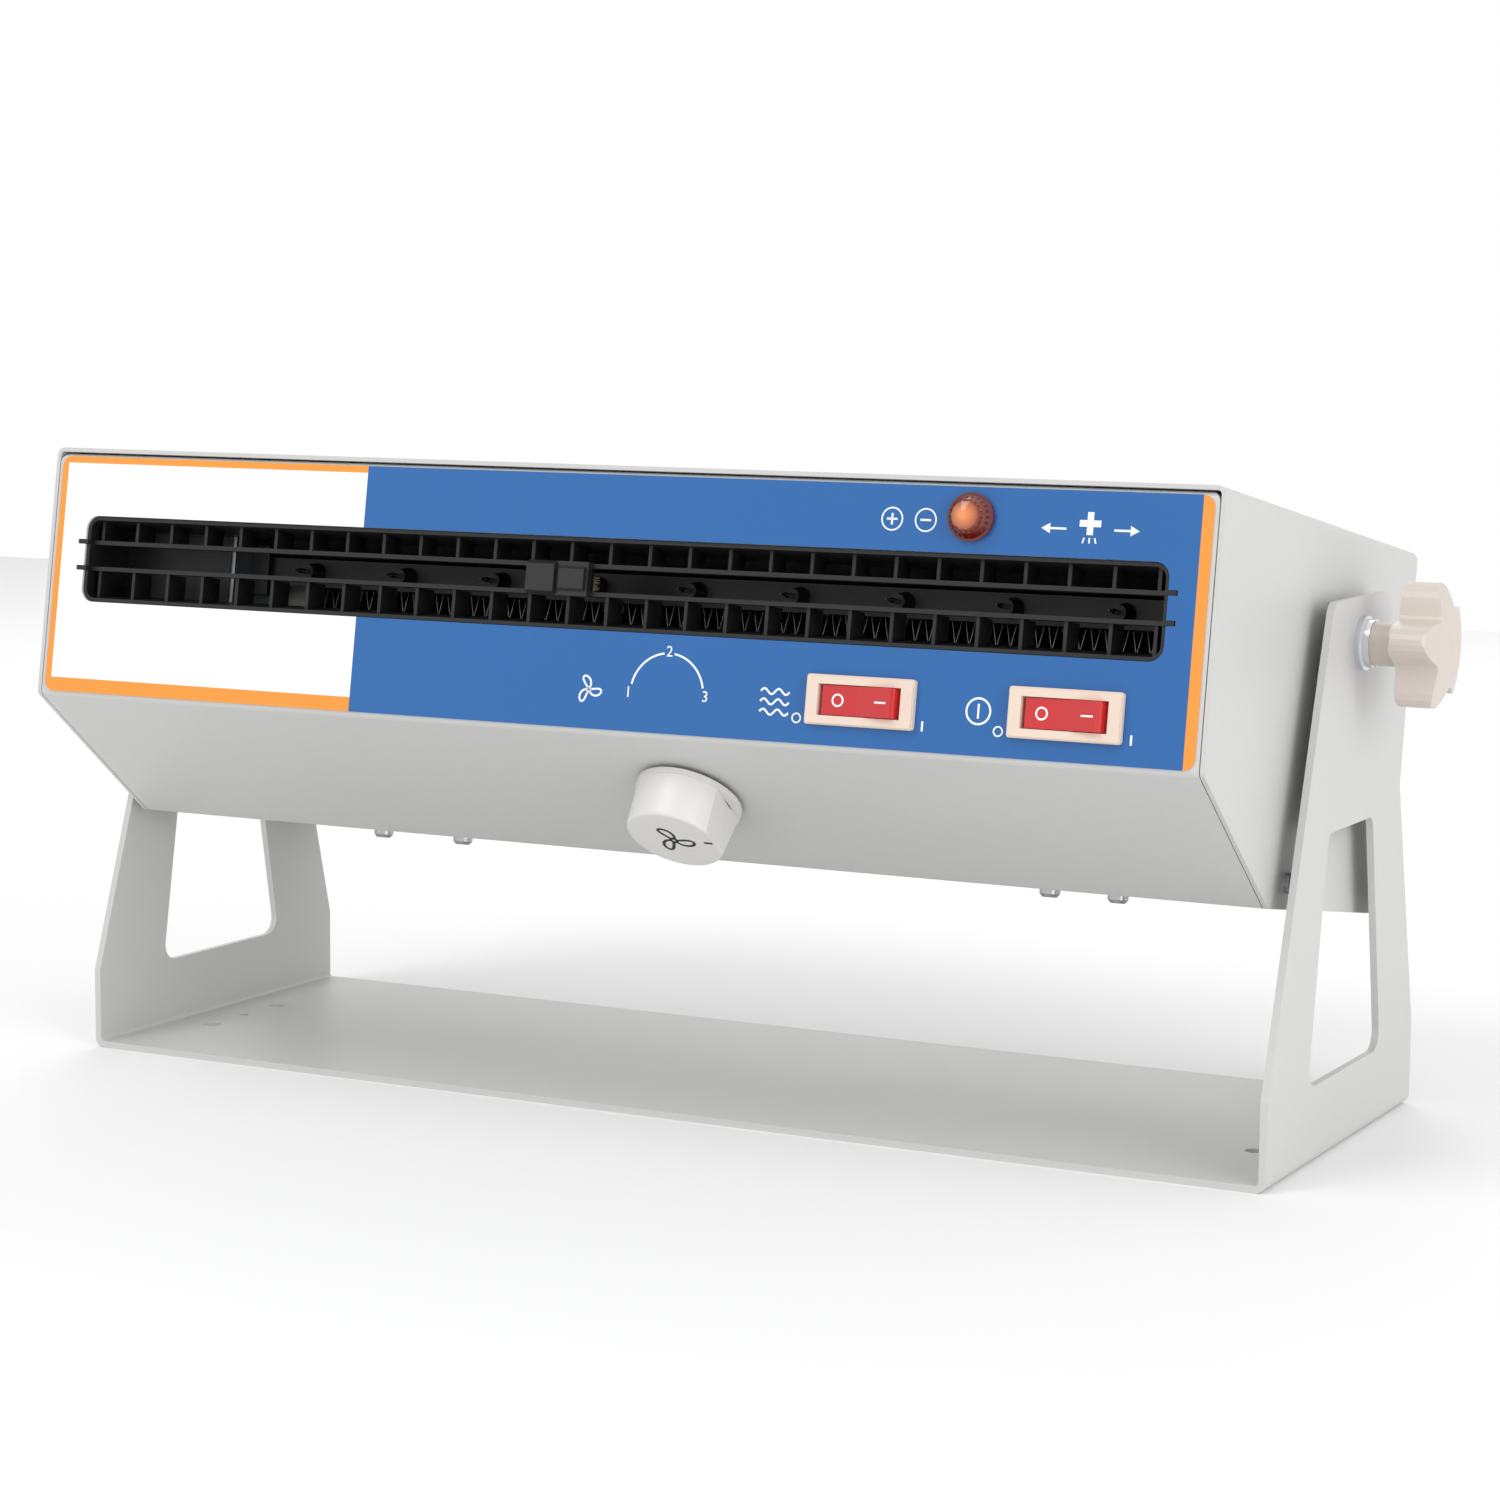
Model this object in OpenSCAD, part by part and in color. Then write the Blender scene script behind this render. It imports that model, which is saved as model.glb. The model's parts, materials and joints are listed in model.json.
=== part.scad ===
// Bench ionizing blower: a sheet-metal housing with a long outlet grille, tilting in a U-shaped stand.
// Origin: underside of the stand's base plate, at its centre. X to the right, Y to the back, Z up.

/* [Housing] */
// Outside width of the housing
housing_w = 360; // [356:1:380]
// Depth of the housing from front face to rear face
housing_d = 164; // [160:1:172]
// Overall height of the housing
housing_h = 104; // [103:1:110]
// Height of the vertical front face
front_h = 72; // [71:0.5:74]
// Depth over which the slanted lower face runs back
slant_d = 56; // [52:1:60]
// Thickness of the housing's sheet metal
sheet_t = 1.2; // [1:0.1:1.5]
// Outside radius of the housing's bends
bend_r = 2.4; // [2:0.1:3]
// Gap between the cover and the chassis inside it
cover_gap = 0.3; // [0.2:0.05:0.5]

/* [Stand] */
// Depth of the base plate
base_d = 124; // [118:1:132]
// Thickness of the stand's plate
stand_t = 2; // [1.5:0.1:2.5]
// Height of the arms
arm_h = 150; // [148:1:158]
// Height of the arms' straight foot before they taper
arm_foot_h = 24; // [20:1:26]
// Width of an arm at its top
arm_top_w = 48; // [44:1:54]
// Gap between the housing's side and an arm
arm_gap = 5; // [4.5:0.25:6]
// Height of the pivot above the floor
pivot_z = 137.5; // [136:0.5:140]
// Distance of the pivot behind the base plate's centre
pivot_y = 5; // [0:0.5:8]
// Nose-up tilt of the housing
tilt = 9; // [5:1:12]
// Height of the lower edge of the arm's window
window_z0 = 21.5; // [18:0.5:26]
// Height of the upper edge of the arm's window
window_z1 = 88.5; // [80:0.5:94]
// Distance of the bench bolt holes from the centre
bolt_x = 171; // [164:0.5:172]
// Spacing of the two bolt holes at one end
bolt_pitch = 35; // [30:1:40]
// Radius of a bench bolt hole
bolt_r = 2.75; // [2.5:0.25:3.25]

/* [Outlet] */
// Width of the outlet slot
slot_w = 334; // [328:1:336]
// Height of the outlet slot
slot_h = 25; // [24:0.25:26]
// Depth of the slot's centre below the top edge
slot_drop = 32.1; // [31.5:0.1:33]
// Number of vertical ribs across the outlet
rib_count = 28; // [24:1:30]
// Thickness of a rib
rib_t = 1; // [0.8:0.1:1.4]
// Thickness of the two long rails
rail_t = 1.2; // [1:0.1:1.4]
// Clear height between the two rails
channel_h = 6.4; // [6:0.1:6.8]
// Depth of the channel's centre below the top edge
channel_drop = 31; // [30.5:0.1:31.5]
// Number of emitter needles
needle_count = 9; // [7:1:10]
// Place of the point cleaner along the channel
cleaner_x = -8; // [-60:1:60]

/* [Controls] */
// Distance of the fan speed control from the centre
speed_x = 25; // [15:1:35]
// Radius of the fan speed knob
speed_knob_r = 15; // [13:0.5:16]
// Height of the fan speed knob
speed_knob_h = 14; // [12:0.5:16]
// Distance of the warm air switch from the centre
warm_x = 85.6; // [75:0.5:95]
// Distance of the power switch from the centre
power_x = 142.6; // [135:0.5:146]
// Depth of the switches below the top edge
switch_drop = 59.2; // [58.8:0.1:60.5]
// Width of a switch bezel
bezel_w = 30.8; // [30:0.2:32]
// Height of a switch bezel
bezel_h = 13.1; // [12.8:0.1:13.5]
// Distance of the ionization lamp from the centre
lamp_x = 112.5; // [105:0.5:120]
// Radius of the lamp's flange
lamp_r = 6.3; // [6:0.1:6.5]

/* [Fan] */
// Radius of the cross-flow wheel
wheel_r = 30; // [28:0.5:31]
// Number of blades on the wheel
blade_count = 24; // [20:1:28]
// Radius of the wheel's shaft
shaft_r = 3; // [2.5:0.25:3.5]
// Radius of the motor
motor_r = 28; // [26:0.5:29]
// Length of the motor
motor_l = 34; // [30:1:36]

/* [Clamp knobs] */
// Outer radius of a clamp knob
grip_r = 17.5; // [15:0.5:18]
// Thickness of a clamp knob's head
grip_t = 13; // [11:0.5:14]
// Length of a clamp knob's neck
neck_l = 8.5; // [7:0.5:11]
// Radius of a clamp knob's neck
neck_r = 6; // [5.5:0.25:6.5]
// Radius of the clamp stud
stud_r = 3; // [2.5:0.25:3]

/* [Hidden] */
$fn = 48;

// Housing frame: origin at the middle of the front face's top edge, Y into the housing, Z up.
pivot_in = 96;                      // pivot behind the front face
pivot_drop = 31;                    // pivot below the top
fit = 0.05;                         // radial clearance of a running fit
seat = 0.2;                         // clearance of a piece set in a hole or slot
slant_len = norm([slant_d, housing_h - front_h]);
slant_angle = atan2(housing_h - front_h, slant_d);
chassis_w = housing_w - 2 * (sheet_t + cover_gap);
chassis_top = -(sheet_t + cover_gap);
flange_d = 11;                      // return flanges under the cover's top
face_corner_r = 3;                  // top corners of the front face
half_w = housing_w / 2;

arc_n = 6;                          // steps in each fillet

// Stand
arm_x = half_w + arm_gap;           // inner face of an arm
stand_r = 3;                        // outside radius of the stand's bends
arm_corner_r = 5;                   // corners at the top of an arm
pilot_r = 1.5;                      // small hole between two bolt holes
bolt_y = -7;                        // middle of the bolt holes from the base plate's centre
stud_hole_r = stud_r + 0.25;

// Grille
lip_t = 1.4;                        // grille flange behind the panel
lip_w = 3.2;                        // how far the flange reaches past the slot
nozzle_d = 19;                      // depth of the grille's nozzle ring
nozzle_front = 0.4;                 // how far the ring sits behind the panel's outer face
rail_y0 = 2;
rail_y1 = 6;
rib_y0 = 3;
rib_y1 = 11;
rib_span = slot_w - 7.4;            // first rib to last rib
rail_z = channel_h / 2 + rail_t / 2;
label_t = 0.4;

// Fan
fan_x0 = -half_w + motor_l + 18;
fan_x1 = half_w - 14;
fan_y = 98;
fan_z = -46;
scroll_gap = 4;
scroll_t = 1;
scroll_r = wheel_r + scroll_gap;
duct_y = nozzle_d + 0.6;
duct_z0 = -slot_drop - slot_h / 2 - 1;
duct_z1 = -slot_drop + slot_h / 2 + 1;
plate_t = 1.2;
tongue_angle = 152;

// Emitters
tip_y = 18;
needle_l = 13;
needle_r = 0.75;
bar_y = tip_y + needle_l - 1;
bar_d = 6;
bar_h = 8;

steel = [0.72, 0.73, 0.74];
paint = [0.82, 0.82, 0.81];
ivory = [0.86, 0.83, 0.78];
black = [0.07, 0.07, 0.08];
white = [0.93, 0.93, 0.92];
red = [0.8, 0.05, 0.08];

// ---------- frames and profiles ----------

module in_housing() {
    translate([0, pivot_y, pivot_z]) rotate([-tilt, 0, 0]) translate([0, -pivot_in, pivot_drop]) children();
}

// On the slanted face: X along the housing, Y down the slope, Z out of the face.
module on_slant(x, s) {
    in_housing() translate([x, 0, -front_h]) rotate([-slant_angle, 0, 0]) translate([0, s, 0])
        rotate([180, 0, 0]) mirror([0, 1, 0]) children();
}

// On the front face: X to the right, Y up, Z out of the face.
module on_front(x, drop) {
    in_housing() translate([x, 0, -drop]) rotate([90, 0, 0]) children();
}

// A profile drawn in Y and Z, extruded along X from x0 to x1.
module along_x(x0, x1) {
    translate([x0, 0, 0]) rotate([90, 0, 90]) linear_extrude(height = x1 - x0) children();
}

// A profile drawn in X and Z, extruded along Y from y0 to y1.
module along_y(y0, y1) {
    translate([0, y1, 0]) rotate([90, 0, 0]) linear_extrude(height = y1 - y0) children();
}

function unit(v) = v / norm(v);
function corner_half(p, a, b) = acos(unit(a - p) * unit(b - p)) / 2;
function fillet_touch(p, a, b, r) = p + unit(a - p) * r / tan(corner_half(p, a, b));

// Points along the fillet of radius r at corner p, from the side of a round to the side of b.
function fillet(p, a, b, r, n) = let (
    centre = p + unit(unit(a - p) + unit(b - p)) * r / sin(corner_half(p, a, b)),
    from = fillet_touch(p, a, b, r) - centre,
    to = fillet_touch(p, b, a, r) - centre,
    sweep = acos(from * to / (r * r)))
    [for (k = [0:n]) centre + (from * sin(sweep * (1 - k / n)) + to * sin(sweep * k / n)) / sin(sweep)];

// A convex outline with a fillet of radius r[i] at each corner.
function rounded(pts, r, n = arc_n) = let (m = len(pts))
    [for (i = [0:m - 1]) each r[i] > 0 ? fillet(pts[i], pts[(i + m - 1) % m], pts[(i + 1) % m], r[i], n) : [pts[i]]];

module rounded_outline(pts, r) {
    polygon(rounded(pts, r));
}

module rounded_rect(w, h, r, n = arc_n) {
    polygon(rounded([[-w / 2, -h / 2], [w / 2, -h / 2], [w / 2, h / 2], [-w / 2, h / 2]], [r, r, r, r], n));
}

// The corners of a convex outline moved inwards by t, where the outline runs clockwise.
function inward(a, b) = let (d = unit(b - a)) [d[1], -d[0]];
function inset_outline(pts, t) = let (n = len(pts))
    [for (i = [0:n - 1]) let (n1 = inward(pts[(i + n - 1) % n], pts[i]), n2 = inward(pts[i], pts[(i + 1) % n]))
        pts[i] + t * (n1 + n2) / (1 + n1 * n2)];

function side_outline(top) = [[0, top], [housing_d, top], [housing_d, -housing_h], [slant_d, -housing_h], [0, -front_h]];

module pan_head(r, h) {
    difference() {
        union() {
            cylinder(r = r, h = h * 0.6);
            translate([0, 0, h * 0.6]) cylinder(r1 = r, r2 = r * 0.7, h = h * 0.4);
        }
        translate([0, 0, h * 0.55]) {
            linear_extrude(height = h) square([r * 1.1, r * 0.28], center = true);
            linear_extrude(height = h) square([r * 0.28, r * 1.1], center = true);
        }
    }
}

module screw(head_r, head_h, shank_r, shank_l) {
    pan_head(head_r, head_h);
    translate([0, 0, -shank_l]) cylinder(r = shank_r, h = shank_l);
}

module hex_nut(flat, h, bore) {
    difference() {
        cylinder(r = flat / 2 / cos(30), h = h, $fn = 6);
        translate([0, 0, -1]) cylinder(r = bore, h = h + 2);
    }
}

// ---------- stand ----------

arm_outline = [
    [-base_d / 2, 0], [-base_d / 2, arm_foot_h], [pivot_y - arm_top_w / 2, arm_h],
    [pivot_y + arm_top_w / 2, arm_h], [base_d / 2, arm_foot_h], [base_d / 2, 0]
];
window_outline = [
    [-base_d / 2 + 32, window_z0], [pivot_y - arm_top_w / 2 + 0.5, window_z1],
    [pivot_y + arm_top_w / 2 - 9.5, window_z1], [base_d / 2 - 30, window_z0]
];

module stand_bracket() color(paint) {
    outer_x = arm_x + stand_t;
    difference() {
        along_y(-base_d / 2, base_d / 2) difference() {
            rounded_outline([[-outer_x, 0], [-outer_x, arm_h], [outer_x, arm_h], [outer_x, 0]],
                [stand_r, 0, 0, stand_r]);
            rounded_outline([[-arm_x, stand_t], [-arm_x, arm_h + 1], [arm_x, arm_h + 1], [arm_x, stand_t]],
                [stand_r - stand_t, 0, 0, stand_r - stand_t]);
        }
        // tapered arms
        along_x(-outer_x - 1, outer_x + 1) difference() {
            translate([-base_d, arm_foot_h]) square([2 * base_d, arm_h]);
            rounded_outline(arm_outline, [0, 0, arm_corner_r, arm_corner_r, 0, 0]);
        }
        along_x(-outer_x - 1, outer_x + 1) rounded_outline(window_outline, [5, 3.5, 3.5, 5]);
        translate([-outer_x - 1, pivot_y, pivot_z]) rotate([0, 90, 0])
            cylinder(r = stud_hole_r, h = 2 * outer_x + 2);
        for (side = [-1, 1]) translate([side * bolt_x, bolt_y, -1]) {
            for (end = [-1, 1]) translate([0, end * bolt_pitch / 2, 0]) cylinder(r = bolt_r, h = stand_t + 2);
            cylinder(r = pilot_r, h = stand_t + 2);
        }
    }
}

// ---------- pivots and clamp knobs ----------

// At the pivot on one side: Z points outwards, 0 at the arm's outer face, X down on the right.
module at_pivot(side) {
    translate([side * (arm_x + stand_t), pivot_y, pivot_z]) rotate([0, side * 90, 0]) children();
}

nut_h = 6;
spacer_r = 9;
washer_t = 1.6;
spring_t = 2.2;
washer_r = 7.4;
washer_stack = washer_t + spring_t;
lobe_count = 5;
lobe_depth = 6.5;
lobe_turn = 45;                     // turns one lobe to the front
dome_h = 3;                         // rise of the knob's outer face

module spacer(side) color(black)
    at_pivot(side) translate([0, 0, -stand_t - arm_gap]) difference() {
        cylinder(r = spacer_r, h = arm_gap);
        translate([0, 0, -1]) cylinder(r = stud_hole_r, h = arm_gap + 2);
    }

module pivot_nut(side) color(steel)
    at_pivot(side) translate([0, 0, -stand_t - arm_gap - sheet_t - nut_h]) {
        difference() {
            union() {
                cylinder(r = 5 / cos(30), h = nut_h, $fn = 6);
                translate([0, 0, nut_h - 1.2]) cylinder(r = 8, h = 1.2);
            }
            translate([0, 0, -1]) cylinder(r = stud_r + fit, h = nut_h + 2);
        }
    }

module clamp_washers(side) color(steel)
    at_pivot(side) {
        difference() {
            cylinder(r = washer_r, h = washer_t);
            translate([0, 0, -1]) cylinder(r = stud_hole_r, h = washer_t + 2);
        }
        translate([0, 0, washer_t]) difference() {
            cylinder(r = washer_r - 0.8, h = spring_t);
            translate([0, 0, -1]) cylinder(r = stud_hole_r, h = spring_t + 2);
            translate([stud_r, -0.5, -1]) cube([washer_r, 1, spring_t + 2]);
        }
    }

module clamp_stud(side) color(steel)
    at_pivot(side) translate([0, 0, -stand_t - arm_gap - sheet_t - nut_h - 2]) {
        cylinder(r1 = stud_r - 0.8, r2 = stud_r, h = 1);
        translate([0, 0, 1])
            cylinder(r = stud_r, h = stand_t + arm_gap + sheet_t + nut_h + 1 + washer_stack + neck_l);
    }

// Star-shaped head: lobes and flutes in one wave, a domed outer face and a rounded rim.
module clamp_knob(side) color(ivory)
    at_pivot(side) translate([0, 0, washer_stack]) difference() {
        union() {
            cylinder(r = neck_r, h = neck_l);
            translate([0, 0, neck_l]) intersection() {
                rotate(lobe_turn) linear_extrude(height = grip_t) polygon([for (a = [0:5:355])
                    (grip_r - lobe_depth / 2 + lobe_depth / 2 * cos(lobe_count * a)) * [cos(a), sin(a)]]);
                rotate_extrude($fn = 60) polygon(rounded(
                    [[0, 0], [grip_r, 0], [grip_r, grip_t - dome_h], [grip_r * 0.55, grip_t - dome_h * 0.28], [0, grip_t]],
                    [0, 1, 1.6, 8, 0], 3));
            }
        }
        translate([0, 0, -1]) cylinder(r = stud_r, h = neck_l + 1);
    }

// ---------- chassis and cover ----------

switch_cut = [bezel_w - 3.4, bezel_h - 1.7];
lamp_hole_r = 4;
speed_hole_r = 4.7;
speed_s = 28;
rear_slot = [3.6, 26];
rear_slot_pitch = 9;
rear_slot_n = 22;
rear_slot_x = -15;
inlet_x = 132;
inlet_drop = 48;
tab_w = 14;
tab_h = 13;
screw_in = 7;
side_screw_y = [slant_d + 14, housing_d - 12];
side_screw_z = -housing_h + screw_in;
tray_screw_y = slant_d + 22;
module_x = -93;
module_pitch = 28;
board_x = 120;
board_pitch = 20;
tray_screw_x = [module_x - module_pitch / 2, module_x + module_pitch / 2, board_x - board_pitch / 2, board_x + board_pitch / 2];
screw_r = 1.5;

module front_cuts() {
    translate([0, -slot_drop]) rounded_rect(slot_w, slot_h, 4);
    for (rail = [-1, 1]) translate([0, -channel_drop + rail * rail_z])
        square([slot_w + 5, rail_t + 0.2], center = true);
    for (x = [warm_x, power_x]) translate([x, -switch_drop]) square(switch_cut, center = true);
    translate([lamp_x, -lamp_drop]) circle(r = lamp_hole_r);
}
lamp_drop = 10.4;

module inlet_cut() {
    translate([inlet_x, -inlet_drop]) {
        rounded_rect(inlet_body[0] + 2 * seat, inlet_body[1] + 2 * seat, 2);
        for (end = [-1, 1]) translate([end * 20, 0]) circle(r = screw_r + seat);
    }
}

module chassis() color(paint) in_housing() {
    difference() {
        union() {
            difference() {
                along_x(-chassis_w / 2, chassis_w / 2) difference() {
                    rounded_outline(side_outline(chassis_top), [bend_r, bend_r, bend_r, bend_r, bend_r]);
                    rounded_outline(inset_outline(side_outline(chassis_top), sheet_t),
                        [for (i = [0:4]) bend_r - sheet_t]);
                    translate([flange_d, chassis_top - 2 * sheet_t])
                        square([housing_d - 2 * flange_d, 3 * sheet_t]);
                }
                // rounded top corners of the front face
                for (side = [-1, 1]) let (corner = [side * chassis_w / 2, chassis_top])
                    along_y(-1, flange_d + 1) polygon(concat(
                        [corner + [side, 1], corner + [-side * face_corner_r, 1]],
                        fillet(corner, corner - [side * 9, 0], corner - [0, 9], face_corner_r, arc_n),
                        [corner + [side, -face_corner_r]]));
            }
            // tabs inside the cover's sides
            for (side = [-1, 1], y = side_screw_y)
                translate([side * (chassis_w / 2 - sheet_t / 2), y, -housing_h + tab_h / 2 + sheet_t / 2])
                    cube([sheet_t, tab_w, tab_h], center = true);
        }
        along_y(-1, sheet_t + 1) front_cuts();
        along_y(housing_d - sheet_t - 1, housing_d + 1) {
            inlet_cut();
            for (row = [0, 1], i = [0:rear_slot_n - 1])
                translate([rear_slot_x + (i - (rear_slot_n - 1) / 2) * rear_slot_pitch, -30 - row * 36])
                    rounded_rect(rear_slot[0], rear_slot[1], rear_slot[0] / 2 - 0.05, 2);
        }
        for (side = [-1, 1], y = side_screw_y) translate([side * half_w, y, side_screw_z]) rotate([0, 90, 0])
            translate([0, 0, -6]) cylinder(r = screw_r + fit, h = 12);
        for (x = tray_screw_x) translate([x, tray_screw_y, -housing_h - 1])
            cylinder(r = screw_r + fit, h = sheet_t + 2);
        translate([speed_x, 0, -front_h]) rotate([-slant_angle, 0, 0]) translate([0, speed_s, -1])
            cylinder(r = speed_hole_r, h = sheet_t + 2);
    }
}

module cover() color(paint) in_housing() difference() {
    intersection() {
        along_x(-half_w, half_w) rounded_outline(side_outline(0), [0, 0, bend_r, bend_r, bend_r]);
        along_y(0, housing_d) difference() {
            rounded_outline([[-half_w, -housing_h], [-half_w, 0], [half_w, 0], [half_w, -housing_h]],
                [0, bend_r, bend_r, 0]);
            rounded_outline([[-half_w + sheet_t, -housing_h - 1], [-half_w + sheet_t, -sheet_t],
                [half_w - sheet_t, -sheet_t], [half_w - sheet_t, -housing_h - 1]],
                [0, bend_r - sheet_t, bend_r - sheet_t, 0]);
        }
    }
    translate([0, pivot_in, -pivot_drop]) rotate([0, 90, 0]) cylinder(r = stud_hole_r, h = 2 * housing_w, center = true);
    for (side = [-1, 1], y = side_screw_y) translate([side * half_w, y, side_screw_z]) rotate([0, 90, 0])
        cylinder(r = screw_r + seat, h = 6, center = true);
}

module cover_screws() color(steel) in_housing()
    for (side = [-1, 1], y = side_screw_y) translate([side * half_w, y, side_screw_z]) rotate([0, side * 90, 0])
        screw(2.9, 2.2, screw_r, 6);

module tray_screws() color(steel) in_housing()
    for (x = tray_screw_x) translate([x, tray_screw_y, -housing_h]) rotate([180, 0, 0])
        screw(2.9, 2.4, screw_r, sheet_t + 5);

module front_label() color([0.16, 0.44, 0.75]) in_housing() along_y(-label_t, 0) difference() {
    translate([0, (chassis_top - front_h) / 2]) rounded_rect(chassis_w - 2.4, front_h + chassis_top - 2, 3);
    front_cuts();
}

// ---------- outlet grille, emitters and point cleaner ----------

module outlet_grille() color(black) in_housing() difference() {
    union() {
        // flange behind the panel
        along_y(sheet_t, sheet_t + lip_t) translate([0, -slot_drop]) difference() {
            rounded_rect(slot_w + 2 * lip_w, slot_h + 2 * lip_w, 5);
            rounded_rect(slot_w - 2, slot_h - 2, 3);
        }
        // nozzle ring in the slot
        along_y(nozzle_front, nozzle_d) translate([0, -slot_drop]) difference() {
            rounded_rect(slot_w - 2 * seat, slot_h - 2 * seat, 4 - seat);
            rounded_rect(slot_w - 2 * seat - 2, slot_h - 2 * seat - 2, 3 - seat);
        }
        // throat walls that narrow towards the fan
        for (end = [-1, 1]) translate([0, 0, -slot_drop + end * (slot_h / 2 - seat - 1)])
            along_x(-slot_w / 2 + 3, slot_w / 2 - 3)
                polygon([[1.5, end * 0.5], [1.5, 0], [12, -end * 1.6], [nozzle_d, -end * 1.6], [nozzle_d, end * 0.5]]);
        intersection() {
            along_y(rib_y0, rib_y1) translate([0, -slot_drop]) rounded_rect(slot_w - 1, slot_h - 1, 3.5);
            for (i = [0:rib_count - 1])
                translate([-rib_span / 2 + i * rib_span / (rib_count - 1) - rib_t / 2, rib_y0, -slot_drop - slot_h / 2])
                    cube([rib_t, rib_y1 - rib_y0, slot_h]);
        }
        for (rail = [-1, 1]) translate([0, (rail_y0 + rail_y1) / 2, -channel_drop + rail * rail_z])
            cube([slot_w - 2 * seat, rail_y1 - rail_y0, rail_t], center = true);
        // rail tabs in the slot's notches
        for (rail = [-1, 1]) translate([0, 0, -channel_drop + rail * rail_z]) difference() {
            translate([-slot_w / 2 - 2.2, -label_t, -rail_t / 2]) cube([slot_w + 4.4, rail_y1 + label_t, rail_t]);
            translate([-slot_w / 2 + 1, -1, -rail_t]) cube([slot_w - 2, rail_y1 + 3, 2 * rail_t]);
        }
    }
    // open channel for the point cleaner
    translate([-slot_w / 2 + 2, rail_y0 - 3, -channel_drop - channel_h / 2]) cube([slot_w - 4, rib_y1 + 4 - rail_y0, channel_h]);
    translate([-slot_w / 2 + 2, rail_y1, -channel_drop - channel_h / 2 - rail_t])
        cube([slot_w - 4, rib_y1 - rail_y1 + 1, channel_h + 2 * rail_t]);
}

slider_w = 18.5;
slider_h = 9.3;
slider_gap = 0.15;
shoe_w = 13;
shoe_t = 1.8;
brush_w = 7;
brush_h = 4.6;

module cleaner_slider() color(black) in_housing() translate([cleaner_x, 0, -channel_drop]) {
    // thumb plate with a stepped grip in front of the rails
    along_y(-0.2, rail_y0 - slider_gap) square([slider_w, slider_h], center = true);
    along_x(-slider_w / 2, -0.6) polygon([[-0.2, -slider_h / 2], [-1.6, -slider_h / 2 + 1], [-1.6, slider_h / 2 - 1], [-0.2, slider_h / 2]]);
    along_x(0.6, slider_w / 2 - 0.8) polygon([[-0.2, -slider_h / 2 + 1.2], [-1.2, -slider_h / 2 + 2], [-1.2, slider_h / 2 - 2], [-0.2, slider_h / 2 - 1.2]]);
    // web through the channel and shoe behind the rails
    translate([-5, rail_y0 - slider_gap, -channel_h / 2 + slider_gap])
        cube([10, rail_y1 + slider_gap * 2 - rail_y0, channel_h - 2 * slider_gap]);
    translate([-shoe_w / 2, rail_y1 + slider_gap, -channel_h / 2 - rail_t + 0.3])
        cube([shoe_w, shoe_t, channel_h + 2 * rail_t - 0.6]);
}

module cleaner_brush() color([0.75, 0.7, 0.6]) in_housing()
    translate([cleaner_x - brush_w / 2, rail_y1 + slider_gap + shoe_t, -channel_drop - brush_h / 2])
        cube([brush_w, tip_y - 0.3 - rail_y1 - slider_gap - shoe_t, brush_h]);

emitter_x0 = fan_x0 + 6;
emitter_x1 = fan_x1 - 6;
needle_pitch = (emitter_x1 - emitter_x0) / needle_count;
function needle_x(i) = emitter_x0 + (i + 0.5) * needle_pitch;

module emitter_bar() color([0.15, 0.15, 0.16]) in_housing() difference() {
    union() {
        translate([emitter_x0, bar_y, -channel_drop - bar_h / 2])
            cube([emitter_x1 - emitter_x0, bar_d, bar_h]);
        for (i = [0:needle_count - 1]) translate([needle_x(i), bar_y + 1, -channel_drop]) rotate([90, 0, 0])
            cylinder(r1 = 3.2, r2 = 2, h = 6);
    }
    for (i = [0:needle_count - 1]) translate([needle_x(i), bar_y + 4, -channel_drop]) rotate([90, 0, 0])
        cylinder(r = needle_r, h = 12);
}

module emitter_needles() color(steel) in_housing()
    for (i = [0:needle_count - 1]) translate([needle_x(i), tip_y, -channel_drop]) rotate([-90, 0, 0]) {
        cylinder(r1 = 0.08, r2 = needle_r, h = 3.5);
        translate([0, 0, 3.5]) cylinder(r = needle_r, h = bar_y + 4 - tip_y - 3.5);
    }

module emitter_brackets() color(white) in_housing()
    for (side = [0, 1]) translate([side == 0 ? fan_x0 : fan_x1 - 6, bar_y - 2, -channel_drop - 7])
        cube([6, bar_d + 4, 14]);

// closes the part of the outlet that lies in front of the motor
module duct_blank() color(black) in_housing()
    translate([-slot_w / 2, nozzle_d, duct_z0]) cube([fan_x0 + slot_w / 2 - plate_t, 1, duct_z1 - duct_z0]);

// ---------- cross-flow fan ----------

function polar(r, a) = [r * cos(a), r * sin(a)];
// touching point on the scroll's circle of a line from the outlet's lower lip
lip_from_fan = [duct_y - fan_y, duct_z0 - fan_z];
lip_angle = atan2(lip_from_fan[1], lip_from_fan[0]);
touch_angle = (lip_angle < 0 ? lip_angle + 360 : lip_angle) + acos(scroll_r / norm(lip_from_fan));
scroll_end = 375;

scroll_n = 30;                      // steps round the scroll
function scroll_arc(r) = [for (i = [0:scroll_n]) polar(r, scroll_end + (touch_angle - scroll_end) * i / scroll_n)];
function reversed(pts) = [for (i = [len(pts) - 1:-1:0]) pts[i]];

// The scroll's curve round the wheel, then straight on to the outlet's lower lip.
module scroll_profile() {
    polygon(concat(scroll_arc(scroll_r), [lip_from_fan, lip_from_fan + polar(scroll_t, touch_angle)],
        reversed(scroll_arc(scroll_r + scroll_t))));
}

module fan_scroll() color(steel) in_housing() translate([0, fan_y, fan_z])
    along_x(fan_x0, fan_x1) scroll_profile();

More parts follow.
